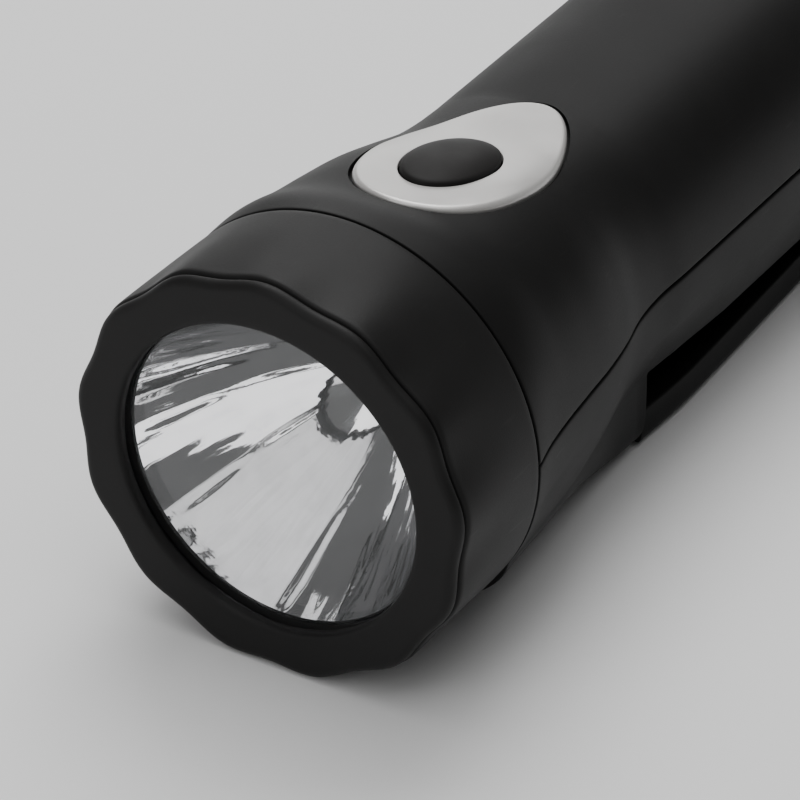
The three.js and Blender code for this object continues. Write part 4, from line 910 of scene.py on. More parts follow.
@dataclass(frozen=True)
class MirrorChrome:
    """Vacuum metallised plastic with an orange peel skin, a slight haze, and darker patches that are
    painted reflection streaks.
    """

    name: str
    colour: Colour
    roughness: float = 0.035
    peel_size: float = 1.6
    peel_relief: float = 0.01
    haze_size: float = 4.0
    haze_and_streak_edges: Table = ((0.45, 0), (0.75, 1))
    # painted reflection streaks: how far the chrome's colour is darkened in the haze patches
    painted_streak_tint: float = 0.9
    haze_gloss: float = 0.03

    def material(self) -> bpy.types.Material:
        """Builds the material."""
        shader = Shader(self.name)
        peel = shader.noise(self.peel_size, 2.0)
        # patches that carry a real haze in roughness and painted reflection streaks in colour
        haze = shader.ramp(shader.noise(self.haze_size, 4.0), *self.haze_and_streak_edges)
        return shader.finish(
            # painted reflection: the patches darken the colour to stand in for dark reflection streaks,
            # and their added roughness is a real haze
            Base_Color=shader.mixed(haze, self.colour, shade(self.colour, self.painted_streak_tint)),
            Metallic=1.0,
            Roughness=self.roughness + haze * self.haze_gloss,
            Normal=shader.bump(peel, self.peel_relief),
        )


@dataclass(frozen=True)
class ClearPlastic:
    """Clear polished plastic: hardly seen from straight on, shiny at a flat angle."""

    name: str
    colour: Colour
    shine: float = 0.03
    face_share: float = 0.5  # of the flat-angle shine that each of the two faces gives
    falloff: int = 5
    roughness: float = 0.03
    dust_size: float = 0.35
    dust_edges: Table = ((0.68, 0), (0.8, 1))
    dust_tint: float = 0.9
    dust_gloss: float = 0.1
    dust_cover: float = 0.01

    def material(self) -> bpy.types.Material:
        """Builds the material."""
        shader = Shader(self.name)
        dust = shader.ramp(shader.noise(self.dust_size, 3.0), *self.dust_edges)
        facing = shader.add("ShaderNodeLayerWeight", sockets={"Blend": 0.5}, output="Facing")
        flat_angle = (1 - self.shine) * self.face_share * facing**self.falloff
        return shader.finish(
            Base_Color=shader.mixed(dust, self.colour, shade(self.colour, self.dust_tint)),
            Metallic=1.0,
            Roughness=self.roughness + dust * self.dust_gloss,
            Alpha=self.shine + flat_angle + dust * self.dust_cover,
        )


class Grain(Enum):
    """How a metal part was worked, as the stretch of its marks in each direction."""

    TURNED_UPRIGHT = (1.0, 1.0, 12.0)
    TURNED_ALONG = (1.0, 12.0, 1.0)
    ROLLED = (1.0, 12.0, 3.0)


@dataclass(frozen=True)
class WorkedMetal:
    """Bare or plated metal with the marks of how it was worked."""

    name: str
    colour: Colour
    roughness: float = 0.3
    grain: Grain = Grain.TURNED_UPRIGHT
    mark: float = 3.0
    relief: float = 0.006
    mark_gloss: float = 0.16
    stain_size: float = 3.0
    stain_tint: float = 0.82
    stain_gloss: float = 0.1

    def material(self) -> bpy.types.Material:
        """Builds the material."""
        shader = Shader(self.name)
        marks = shader.noise(self.mark, 3.0, shader.stretched(self.grain.value))
        stain = shader.noise(self.stain_size, 4.0)
        gloss = shader.swing(marks, self.mark_gloss)
        return shader.finish(
            Base_Color=shader.mixed(stain, shade(self.colour, self.stain_tint), self.colour),
            Metallic=1.0,
            Roughness=self.roughness + gloss + shader.swing(stain, self.stain_gloss),
            Normal=shader.bump(marks, self.relief),
        )


@dataclass(frozen=True)
class WoundCopper:
    """Enamelled copper wire, wound in level turns, with painted shade in the grooves between them."""

    name: str
    colour: Colour
    wire: float = 0.5
    period: float = 0.314  # of the wave node at scale 1, in millimetres
    wander: float = 0.3
    tone_size: float = 1.2
    tones: tuple[float, float] = (0.75, 1.1)
    groove: float = 0.25  # painted shade: the share of the colour's light kept between two turns
    metallic: float = 0.9
    roughness: float = 0.3
    groove_roughness: float = 0.2
    coat: float = 0.5
    turn_coat: float = 0.3
    relief: float = 0.1

    def material(self) -> bpy.types.Material:
        """Builds the material."""
        shader = Shader(self.name)
        settings = {"wave_type": "BANDS", "bands_direction": "Z", "wave_profile": "SIN"}
        scale = self.period / self.wire
        sockets = {"Vector": shader.place, "Scale": scale, "Distortion": self.wander}
        turns = shader.add("ShaderNodeTexWave", settings, sockets, output=1)
        tone = shader.noise(self.tone_size, 2.0)
        lit = shader.mixed(tone, *(shade(self.colour, light) for light in self.tones))
        return shader.finish(
            # painted shade: the colour falls to the groove share between turns, while the lit colour keeps
            # its random tone on the turns
            Base_Color=shader.mixed(turns, shade(self.colour, self.groove), lit),
            Metallic=self.metallic,
            Roughness=self.roughness + (1 - turns) * self.groove_roughness,
            Coat_Weight=self.coat + turns * self.turn_coat,
            Normal=shader.bump(turns, self.relief),
        )


@dataclass(frozen=True)
class CoatedBoard:
    """A circuit board: lacquer over tracks, with tinned pads."""

    name: str
    lacquer: Colour
    pad: Colour = (0.6, 0.6, 0.58)
    pitch: float = 2.2
    spread: float = 0.4
    pad_edge: tuple[float, float] = (0.14, 0.17)  # distances between which a pad ends
    track_edge: tuple[float, float] = (0.06, 0.09)
    track_share: float = 0.6
    track_gain: float = 1.9
    pad_metallic: float = 0.9
    roughness: float = 0.35
    cloud: float = 0.6
    cloud_gloss: float = 0.15
    relief: float = 0.03

    def material(self) -> bpy.types.Material:
        """Builds the material."""
        shader = Shader(self.name)
        cells = {"Vector": shader.place, "Scale": 1 / self.pitch, "Randomness": self.spread}
        middle = shader.add("ShaderNodeTexVoronoi", {"distance": "CHEBYCHEV"}, cells)
        pads = shader.ramp(middle, *zip(self.pad_edge, (1, 0)))
        edges = shader.add("ShaderNodeTexVoronoi", {"feature": "DISTANCE_TO_EDGE"}, cells)
        tracks = shader.ramp(edges, *zip(self.track_edge, (1, 0)))
        bright = shade(self.lacquer, self.track_gain)
        ground = shader.mixed(tracks * self.track_share, self.lacquer, bright)
        return shader.finish(
            Base_Color=shader.mixed(pads, ground, self.pad),
            Metallic=pads * self.pad_metallic,
            Roughness=self.roughness + shader.noise(self.cloud) * self.cloud_gloss,
            Normal=shader.bump(tracks + pads, self.relief),
        )


@dataclass(frozen=True)
class LampDome:
    """The lamp: a clear dome with the yellow of its phosphor in the middle."""

    name: str
    glass: Colour
    phosphor: Colour
    chip_radius: float = 1.3
    chip_edge: tuple[float, float] = (0.4, 0.6)  # of the chip's width, where it fades
    swirl_size: float = 0.8
    tint: float = 0.9
    roughness: float = 0.08
    swirl_gloss: float = 0.1
    coat: float = 0.6
    swirl_coat: float = 0.2

    def material(self) -> bpy.types.Material:
        """Builds the material."""
        shader = Shader(self.name)
        flat = shader.add("ShaderNodeMapping", sockets={
            "Vector": shader.place, "Scale": (1.0, 0, 1.0), "Location": (0, 0, TORCH.ground),
        })
        across = shader.add("ShaderNodeVectorMath", {"operation": "LENGTH"}, {0: flat}, output=1)
        chip = shader.ramp(across / (2 * self.chip_radius), *zip(self.chip_edge, (1, 0)))
        swirl = shader.noise(self.swirl_size, 2.0)
        return shader.finish(
            Base_Color=shader.mixed(chip, shade(self.glass, self.tint), self.phosphor),
            Roughness=self.roughness + swirl * self.swirl_gloss,
            Coat_Weight=self.coat + shader.swing(swirl, self.swirl_coat),
        )


FINISHES = {
    finish.name: finish
    for finish in (
        MouldedPlastic("bezel_plastic", (0.0115, 0.0113, 0.0112), 0.46, specular=0.12),
        MouldedPlastic("body_plastic", (0.0080, 0.0079, 0.0078), 0.48, specular=0.1),
        MouldedPlastic("knob_plastic", (0.0160, 0.0160, 0.0160), 0.5),
        MouldedPlastic("inner_plastic", (0.035, 0.035, 0.038), 0.55, grain=0.4),
        MouldedPlastic("gear_nylon", (0.72, 0.69, 0.6), 0.4, grain=0.5, relief=0.006,
                       subsurface=0.2),
        MouldedPlastic("component_sleeve", (0.025, 0.025, 0.035), 0.28, relief=0.004),
        MouldedPlastic("wire_cover", (0.35, 0.02, 0.02), 0.35, relief=0.004),
        SoftRubber("black_rubber", (0.012, 0.012, 0.012)),
        SoftRubber("button_rubber", (0.0125, 0.0118, 0.0115), 0.55, pebble=0.16, relief=0.005,
                   sheen=0.0, specular=0.12),
        SatinSilver("plate_silver", (0.545, 0.535, 0.52)),
        MirrorChrome("reflector_chrome", (0.93, 0.93, 0.94)),
        ClearPlastic("clear_lens", (0.85, 0.87, 0.88)),
        LampDome("lamp_glass", (0.55, 0.56, 0.55), (0.46, 0.44, 0.33)),
        WorkedMetal("heat_sink_aluminium", (0.77, 0.78, 0.79), 0.34, Grain.TURNED_ALONG),
        WorkedMetal("screw_steel", (0.56, 0.56, 0.57), 0.3),
        WorkedMetal("shaft_steel", (0.6, 0.6, 0.6), 0.24),
        WorkedMetal("stator_steel", (0.5, 0.5, 0.52), 0.38, Grain.ROLLED),
        WorkedMetal("bush_brass", (0.72, 0.52, 0.2), 0.28),
        WorkedMetal("magnet_ferrite", (0.06, 0.06, 0.065), 0.55, Grain.ROLLED, mark=0.6,
                    relief=0.03),
        WorkedMetal("cell_nickel", (0.68, 0.67, 0.64), 0.22, Grain.TURNED_ALONG),
        WoundCopper("coil_copper", (0.75, 0.3, 0.12)),
        CoatedBoard("board_green", (0.012, 0.09, 0.035)),
        CoatedBoard("board_aluminium", (0.42, 0.42, 0.41), pad=(0.7, 0.69, 0.66)),
    )
}
DRESSED: dict[str, bpy.types.Material] = {}


def material_for(slot: str) -> bpy.types.Material:
    """The material of a slot, built when it is first asked for."""
    if slot not in DRESSED:
        DRESSED[slot] = FINISHES[slot].material()
    return DRESSED[slot]


def body_of_node(node: str) -> str:
    """The body that a CAD node moves with."""
    bodies = frame["record"]["behaviour"]["bodies"]
    return next(body for body, nodes in bodies.items() if node in nodes)


def place_piece(name: str, node: str, slot: str, solid: Solid,
                sharp: Sharp = Sharp.USUAL) -> None:
    """Turns a solid into a finished piece that stands for a CAD node.

    Args:
        name: The piece's name.
        node: The CAD node.
        slot: Its material slot.
        solid: Its shape, in millimetres.
        sharp: The angle in degrees from which an edge is shaded sharp.
    """
    mesh = solid.mesh
    mesh.transform(TORCH.to_frame)
    shape = bmesh.new()
    shape.from_mesh(mesh)
    bmesh.ops.remove_doubles(shape, verts=shape.verts, dist=MERGE_DISTANCE)
    bmesh.ops.triangulate(shape, faces=[face for face in shape.faces if len(face.verts) > 4])
    shape.to_mesh(mesh)
    shape.free()
    mesh.shade_smooth()
    mesh.set_sharp_from_angle(angle=math.radians(sharp))
    mesh.materials.clear()
    mesh.materials.append(material_for(slot))
    mesh.name = name
    piece = bpy.data.objects.new(name, mesh)
    bpy.context.scene.collection.objects.link(piece)
    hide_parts(node)
    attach(piece, body_of_node(node))
    LOG.info("%s for %s: %d faces", name, node, len(mesh.polygons))


# Fasteners and ribs, made by geometry nodes


class GeometryTree(Graph):
    """A geometry node tree with named inputs, run on a mesh that is then made plain."""

    def __init__(self, name: str, inputs: dict[str, float]) -> None:
        """Starts a tree.

        Args:
            name: The tree's name.
            inputs: Its inputs with their first values; whole numbers make whole number sockets.
        """
        super().__init__(bpy.data.node_groups.new(name, "GeometryNodeTree"))
        face = self.tree.interface
        face.new_socket("Geometry", in_out="INPUT", socket_type="NodeSocketGeometry")
        face.new_socket("Geometry", in_out="OUTPUT", socket_type="NodeSocketGeometry")
        self.sockets: dict[str, str] = {}
        for label, value in inputs.items():
            kind = "NodeSocketInt" if isinstance(value, int) else "NodeSocketFloat"
            socket = face.new_socket(label, in_out="INPUT", socket_type=kind)
            socket.default_value = value
            self.sockets[label] = socket.identifier
        self.entry = self.add("NodeGroupInput").socket.node

    def value(self, label: str) -> Val:
        """The value of a named input."""
        return Val(self, self.entry.outputs[label])

    def vector(self, x: Any = 0.0, y: Any = 0.0, z: Any = 0.0) -> Val:
        """A vector from three values."""
        return self.add("ShaderNodeCombineXYZ", sockets={0: x, 1: y, 2: z})

    def moved(self, shape: Val, place: Val) -> Val:
        """A shape moved to a place."""
        return self.add("GeometryNodeTransform", sockets={"Geometry": shape, "Translation": place})

    def union(self, shapes: list[Val]) -> Val:
        """Shapes joined into one closed body."""
        settings = {"operation": "UNION", "solver": "MANIFOLD"}
        return self.add("GeometryNodeMeshBoolean", settings, {1: shapes})

    def end(self, shape: Val, slot: str) -> None:
        """Realises the instances, gives them their material and ends the tree."""
        real = self.add("GeometryNodeRealizeInstances", sockets={0: shape})
        sockets = {0: real, "Material": material_for(slot)}
        dressed = self.add("GeometryNodeSetMaterial", sockets=sockets)
        self.add("NodeGroupOutput", sockets={0: dressed})

    def run(self, start: Solid, values: dict[str, float]) -> Solid:
        """Runs the tree on a mesh.

        Args:
            start: The mesh that it starts from.
            values: The inputs' values, by name.

        Returns:
            The result as a plain mesh.
        """
        holder = bpy.data.objects.new("in_work", start.mesh)
        bpy.context.scene.collection.objects.link(holder)
        modifier = holder.modifiers.new("tree", "NODES")
        modifier.node_group = self.tree
        for label, value in values.items():
            modifier[self.sockets[label]] = value
        evaluated = holder.evaluated_get(bpy.context.evaluated_depsgraph_get())
        result = bpy.data.meshes.new_from_object(evaluated)
        holder.modifiers.remove(modifier)
        bpy.data.objects.remove(holder)
        return Solid(result)


@dataclass(frozen=True)
class ScrewSize:
    """The sizes of one kind of screw, in millimetres."""

    head_radius: float
    head_height: float
    shank_radius: float
    shank_length: float


@dataclass(frozen=True)
class ScrewMaker:
    """Screws with a crowned head, a cross recess and ridged threads."""

    pitch: float = 0.7
    root_share: float = 0.8
    crown_share: float = 0.84
    crown_height_share: float = 0.35
    recess_width_share: float = 0.24
    recess_length_share: float = 1.15
    recess_depth_share: float = 0.6
    flank_share: float = 0.4  # of the pitch, for each side of a ridge
    foot_share: float = 0.98  # of the root's radius, so that a ridge's foot is sunk in it
    sides: int = 40

    def tree(self) -> GeometryTree:
        """Builds the tree: the head's outer face lies at z 0 and the shank points along +Z."""
        tree = GeometryTree("cross_screw", {
            "Head Radius": 2.0, "Head Height": 1.0, "Shank Radius": 1.0, "Shank Length": 5.0,
            "Ridges": 5,
        })
        radius, height = tree.value("Head Radius"), tree.value("Head Height")
        shank, length = tree.value("Shank Radius"), tree.value("Shank Length")
        crown_height = height * self.crown_height_share
        crown = tree.add("GeometryNodeMeshCone", sockets={
            "Vertices": self.sides, "Radius Bottom": radius * self.crown_share, "Radius Top": radius,
            "Depth": crown_height,
        })
        rim_height = height - crown_height
        rim = tree.add("GeometryNodeMeshCylinder", sockets={
            "Vertices": self.sides, "Radius": radius, "Depth": rim_height,
        })
        rim = tree.moved(rim, tree.vector(z=crown_height + rim_height * 0.5))
        core_length = length + height * 0.5
        core = tree.add("GeometryNodeMeshCylinder", sockets={
            "Vertices": self.sides, "Radius": shank * self.root_share, "Depth": core_length,
        })
        core = tree.moved(core, tree.vector(z=height * 0.5 + core_length * 0.5))
        half = self.pitch * self.flank_share
        foot = shank * self.root_share * self.foot_share
        flanks = []
        for bottom, top, lift in ((foot, shank, 0.0), (shank, foot, half)):
            flank = tree.add("GeometryNodeMeshCone", sockets={
                "Vertices": self.sides // 2, "Radius Bottom": bottom, "Radius Top": top, "Depth": half,
            })
            flanks.append(tree.moved(flank, tree.vector(z=lift)))
        ridge = tree.union(flanks)
        first = height + self.pitch
        places = tree.add("GeometryNodeMeshLine", {"mode": "OFFSET"}, {
            "Count": tree.value("Ridges"), "Start Location": tree.vector(z=first),
            "Offset": tree.vector(z=self.pitch),
        })
        ridges = tree.add("GeometryNodeInstanceOnPoints", sockets={"Points": places, "Instance": ridge})
        ridges = tree.add("GeometryNodeRealizeInstances", sockets={0: ridges})
        whole = tree.union([crown, rim, core, ridges])
        across, along = radius * self.recess_width_share, radius * self.recess_length_share
        slots = []
        for width, reach in ((across, along), (along, across)):
            size = tree.vector(width, reach, height * self.recess_depth_share * 2)
            slots.append(tree.add("GeometryNodeMeshCube", sockets={"Size": size}))
        settings = {"operation": "DIFFERENCE", "solver": "MANIFOLD"}
        whole = tree.add("GeometryNodeMeshBoolean", settings, {0: whole, 1: slots})
        tree.end(whole, "screw_steel")
        return tree

    def screw(self, tree: GeometryTree, size: ScrewSize, matrix: Matrix) -> Solid:
        """Makes one screw.

        Args:
            tree: The tree that this maker built.
            size: The screw's sizes.
            matrix: Where its head's outer face goes.

        Returns:
            The screw, in the torch's own frame.
        """
        ridges = int((size.shank_length - 2 * self.pitch) / self.pitch)
        seed = block((0, 0, 0), (1, 1, 1))
        return tree.run(seed, {
            "Head Radius": size.head_radius, "Head Height": size.head_height,
            "Shank Radius": size.shank_radius, "Shank Length": size.shank_length, "Ridges": ridges,
        }).moved(matrix)


# Sub-assemblies


@dataclass(frozen=True)
class Head:
    """The bezel ring with the lens and the reflector."""

    lobe_radius: float = 28.0
    lobe_count: int = 13
    scallop_depth: float = 0.75
    steps_per_lobe: int = 36
    barrel_rows: int = 34
    barrel_power: float = 1.4  # how late the barrel narrows towards the seam
    flute_power: float = 1.6  # how early its flutes fade
    seam_profile: Table = ((0.0, -0.35), (-0.05, -0.15), (-0.2, 0.0))
    mouth_profile: Table = ((0, 0.75), (0.06, 0.42), (0.2, 0.16), (0.45, 0.03), (0.7, 0))
    face_shares: tuple[float, ...] = (0.3, 0.55, 0.75, 0.9)
    face_flute: float = 0.9
    lens_edge: float = 0.25
    lens_band: float = 1.5
    bowl_radius: float = 21.2
    bowl_depth: float = 25.0
    bowl_hole_radius: float = 5.4
    bowl_wall: float = 1.2
    bowl_rim: float = 0.4
    bowl_flange: float = 1.0
    bowl_collar: float = 0.3
    bowl_steps: int = 460
    bowl_rows: int = 96
    flute_height: float = 0.012
    flute_calm: float = 0.3
    flute_waves: tuple[int, ...] = (7, 13, 19, 26, 34, 43, 53, 64)
    flute_swings: tuple[float, ...] = (0.6, 1.6, 4.0, 9.0)
    least_flute: float = 0.4
    bowl_back_rows: int = 17
    seed: int = 13
    lip_profile: Table = (
        (-1.35, 0.0, 0.9), (-1.1, 0.03, 1), (-0.85, 0.12, 1), (-0.6, 0.28, 1), (-0.42, 0.5, 1),
        (-0.3, 0.78, 1), (-0.25, 1.1, 1), (-0.27, 1.3, 1), (-0.34, 1.4, 1), (-0.62, 1.45, 1),
        (-0.72, 1.53, 1), (-0.72, 1.68, 1), (-0.6, 1.76, 1), (-0.3, 1.82, 1), (-0.14, 1.93, 1),
        (-0.04, 2.15, 1), (0.0, 2.45, 1), (0.0, 2.8, 0.99),
    )

    def bezel(self) -> Solid:
        """The fluted ring: its lip, the groove behind it and flutes that fade towards the seam."""
        barrel_start = self.lip_profile[-1][1]
        barrel_length = TORCH.bezel_length - barrel_start
        fall = self.lobe_radius - TORCH.seam_radius
        barrel = []
        for t in np.linspace(0, 1, self.barrel_rows)[1:-2]:
            along = barrel_start + barrel_length * t
            barrel.append((-fall * t**self.barrel_power, along, (1 - t) ** self.flute_power))
        end = TORCH.bezel_length
        barrel += [(-fall + radius, end + along, 0) for radius, along in self.seam_profile]
        opening = TORCH.lens_opening_radius
        recess = TORCH.lens_front - TORCH.clearance
        thread = TORCH.neck_radius + TORCH.clearance
        pocket = TORCH.lens_radius + TORCH.clearance
        shoulder = TORCH.neck_front - TORCH.clearance
        outer = [(self.lobe_radius + radius, y, share)
                 for radius, y, share in (*self.lip_profile, *barrel)]
        inner = [
            (thread, end, 0), (thread, (end + shoulder) / 2, 0), (thread, shoulder, 0),
            (pocket, shoulder, 0), (pocket, recess, 0), (opening, recess, 0),
            *((opening + radius, y, 0) for radius, y in self.mouth_profile),
        ]
        face_width = self.lobe_radius + self.lip_profile[0][0] - opening
        face = [(opening + face_width * t, 0.0, self.face_flute * t**3) for t in self.face_shares]
        profile = np.array(outer + inner + face)
        steps = self.lobe_count * self.steps_per_lobe
        angle = np.linspace(0, FULL_TURN, steps, endpoint=False)[:, None]
        valley = (1 - np.cos(self.lobe_count * angle)) / 2
        radius = profile[:, 0] - self.scallop_depth * profile[:, 2] * valley
        along = np.broadcast_to(profile[:, 1], radius.shape)
        return closed_ring(on_skin(angle, radius, along))

    def lens(self) -> Solid:
        """The lens: a flat disc with a bevelled edge."""
        front, back = TORCH.lens_front, TORCH.lens_front + TORCH.lens_thickness
        edge, radius = self.lens_edge, TORCH.lens_radius
        flat = (0, radius / 2, radius - self.lens_band, radius - edge)
        return turned([
            *((x, front) for x in flat), (radius, front + edge),
            (radius, back - edge), *((x, back) for x in flat[::-1]),
        ], Axis.Y, steps=Sides.LATHE)

    def reflector(self) -> Solid:
        """The bowl: a thin parabolic shell whose inside has long soft flutes."""
        spread = (self.bowl_radius**2 - self.bowl_hole_radius**2) / self.bowl_depth
        start = TORCH.mouth_front
        angle = np.linspace(0, FULL_TURN, self.bowl_steps, endpoint=False)[:, None]
        share = np.linspace(0, 1, self.bowl_rows)[None, :]
        smooth = np.sqrt(self.bowl_radius**2 - spread * self.bowl_depth * share)
        chance = np.random.default_rng(self.seed)
        flutes = np.zeros((self.bowl_steps, self.bowl_rows))
        for wave in self.flute_waves:
            for swing in self.flute_swings:
                phase, turn = chance.uniform(0, FULL_TURN, 2)
                size = chance.uniform(self.least_flute, 1) / (1 + (swing * self.flute_calm) ** 2)
                flutes += size * np.cos(wave * angle + phase) * np.cos(swing * share * math.pi + turn)
        flutes *= self.flute_height * np.sin(share * math.pi) ** 0.5 * (smooth / self.bowl_radius)
        along = np.broadcast_to(start + self.bowl_depth * share, flutes.shape)
        inside = np.stack([smooth + flutes, along], axis=-1)
        back = start + self.bowl_depth + self.bowl_collar
        flange = TORCH.flange_front + self.bowl_flange
        outer = [(math.sqrt(self.bowl_radius**2 - spread * depth) + self.bowl_wall, start + depth)
                 for depth in np.linspace(self.bowl_depth, flange - start, self.bowl_back_rows)]
        rim = self.bowl_radius + self.bowl_rim
        rest = np.array([
            (self.bowl_hole_radius, back), (self.bowl_hole_radius + self.bowl_wall, back), *outer,
            (TORCH.lens_radius, flange), (TORCH.lens_radius, TORCH.flange_front),
            (rim, TORCH.flange_front), (rim, start),
        ])
        rest = np.broadcast_to(rest, (self.bowl_steps, *rest.shape))
        profile = np.concatenate([inside, rest], axis=1)
        return closed_ring(on_skin(angle, profile[..., 0], profile[..., 1]))

    def build(self) -> None:
        """Builds and places the head's pieces."""
        place_piece("fluted_bezel", "bezel_ring", "bezel_plastic", self.bezel(), Sharp.BEZEL)
        place_piece("flat_lens", "lens", "clear_lens", self.lens())
        place_piece("fluted_bowl", "reflector", "reflector_chrome", self.reflector(), Sharp.BOWL)


@dataclass(frozen=True)
class Switch:
    """The silver plate and the button in it."""

    plate_half_length: float = 18.9
    plate_half_width: float = 10.65
    plate_egg_share: float = 0.24
    plate_sunk: float = 0.6
    plate_gap: float = 0.45
    plate_edge: float = 0.75
    plate_dish: float = 0.3
    dish_power: float = 1.7  # how late the dish falls towards the button
    plate_steps: int = 240
    recess_steps: int = 200
    recess_fineness: float = 0.8
    lift_rounds: int = 5  # of moving a point along the button's normal to its height
    edge_rows: int = 7
    dish_rows: int = 22
    under_shares: tuple[float, ...] = (0.3, 0.6, 0.85)
    side_drop: float = 0.1  # of the row of points under the rounded edge
    hole_round: Table = ((0.15, 0.0), (0.05, 0.03), (0.0, 0.12))  # grown, and how far below
    button_half_length: float = 8.5
    button_half_width: float = 5.4
    button_gap: float = 0.4
    seen_gap: float = 0.22  # between the button and the plate where it shows
    button_rim: float = -0.3
    button_dome: float = 1.3
    button_power: float = 2.8
    button_depth: float = 5.4
    button_flange: float = 1.0
    button_flange_width: float = 1.2
    button_travel: float = 1.2
    button_side: float = -2.0  # a row of points on its side
    dome_rows: int = 26
    rim_round: Table = ((0.0, 0.2), (0.04, 0.06))  # set in, and how far below the rim
    oval_steps: int = 120

    def outline(self, gap: float, steps: int) -> np.ndarray:
        """The plate's egg-shaped outline in plan, grown by a gap."""
        angle = np.linspace(0, FULL_TURN, steps, endpoint=False)
        fuller = 1 - self.plate_egg_share * np.cos(angle)
        across = (self.plate_half_width + gap) * np.sin(angle) * fuller
        return np.column_stack([across, SWITCH.plate_y + (self.plate_half_length + gap) * np.cos(angle)])

    def oval(self, grown: float, bottom: float, top: float) -> Solid:
        """An upright oval prism about the button, in the torch's own frame."""
        angle = np.linspace(0, FULL_TURN, self.oval_steps, endpoint=False)
        across, along = self.button_half_width + grown, self.button_half_length + grown
        outline = np.column_stack([across * np.sin(angle), along * np.cos(angle)])
        return prism(outline, bottom, top).moved(SWITCH.matrix)

    def wall_points(self, grown: float, raised: float) -> np.ndarray:
        """Points of the button's hole where it meets a surface above the body's skin.

        Args:
            grown: How far outside the button.
            raised: How far above the body's skin.

        Returns:
            Rows of x, y and z.
        """
        angle = np.linspace(0, FULL_TURN, self.plate_steps, endpoint=False)
        x = (self.button_half_width + grown) * np.sin(angle)
        y = (self.button_half_length + grown) * np.cos(angle)
        matrix = np.array(SWITCH.matrix)
        lift = np.zeros_like(x)
        for _ in range(self.lift_rounds):
            points = np.column_stack([x, y, lift]) @ matrix[:3, :3].T + matrix[:3, 3]
            lift += BODY.height(points[:, 0], points[:, 1], raised) - points[:, 2]
        return points

    def plate(self) -> Solid:
        """The plate: it follows the body, dished towards the button, with rounded edges."""
        edge, raised = self.plate_edge, SWITCH.plate_raised
        outline = self.outline(0, self.plate_steps)
        (top_gap, _), *round_off = self.hole_round
        inner_top = self.wall_points(self.seen_gap + top_gap, raised)[:, :2]
        toward = inner_top - outline
        toward /= np.hypot(*toward.T)[:, None]
        rows = []

        def ring(plan: np.ndarray, lift: float) -> None:
            """Adds a row of points over a line in plan."""
            rows.append(np.column_stack([plan, BODY.height(plan[:, 0], plan[:, 1], lift)]))

        ring(outline, -self.plate_sunk)
        ring(outline, raised - edge - self.side_drop)
        for angle in np.linspace(0, QUARTER_TURN, self.edge_rows):
            set_in, drop = edge * (1 - math.cos(angle)), edge * (1 - math.sin(angle))
            ring(outline + toward * set_in, raised - drop)
        start = outline + toward * edge
        for t in np.linspace(0, 1, self.dish_rows)[1:]:
            ring(start + (inner_top - start) * t, raised - self.plate_dish * t**self.dish_power)
        low = raised - self.plate_dish
        for grown, drop in round_off:
            rows.append(self.wall_points(self.seen_gap + grown, low - drop))
        rows.append(self.wall_points(self.seen_gap, -self.plate_sunk))
        bottom = rows[-1][:, :2]
        for t in self.under_shares:
            ring(bottom + (outline - bottom) * t, -self.plate_sunk)
        return closed_ring(np.array(rows))

    def button(self) -> Solid:
        """The button: a domed oval on a flange."""
        radius = self.button_half_length
        flange = radius + self.button_flange_width
        bottom, flange_top = -self.button_depth, -self.button_depth + self.button_flange
        dome = [(radius * share, self.button_rim + self.button_dome * (1 - share**self.button_power))
                for share in np.linspace(1, 0, self.dome_rows)]
        rim = [(radius - set_in, dome[0][1] - drop) for set_in, drop in self.rim_round]
        outline = [
            (0, bottom), (flange, bottom), (flange, flange_top), (radius, flange_top),
            (radius, self.button_side), *rim, *dome[1:],
        ]
        squash = Matrix.Scale(self.button_half_width / radius, 4, (1, 0, 0))
        return turned(outline, Axis.Z, steps=Sides.LATHE).moved(SWITCH.matrix @ squash)

    def recess(self) -> list[Solid]:
        """What the switch takes out of the upper shell."""
        top = self.button_dome + TORCH.overrun
        handle = TORCH.seam + TORCH.cone_length + 2 * TORCH.wall
        depth = self.plate_sunk + TORCH.clearance
        sunk = BODY.solid(depth, TORCH.seam, handle, fineness=self.recess_fineness)
        outline = self.outline(self.plate_gap, self.recess_steps)
        above = prism(outline, 0, TORCH.seam_radius + 2 * TORCH.overrun)
        below = -self.button_depth - self.button_travel - TORCH.clearance
        flange_top = -self.button_depth + self.button_flange + TORCH.clearance
        return [
            above.cut(sunk),
            self.oval(self.button_gap, -self.button_depth - TORCH.overrun, top),
            self.oval(self.button_flange_width + self.button_gap, below, flange_top),
        ]

    def build(self) -> None:
        """Builds and places the switch's outer pieces."""
        place_piece("silver_plate", "switch_plate", "plate_silver", self.plate(), Sharp.PLATE)
        place_piece("domed_button", "switch_button", "button_rubber", self.button(), Sharp.PLATE)


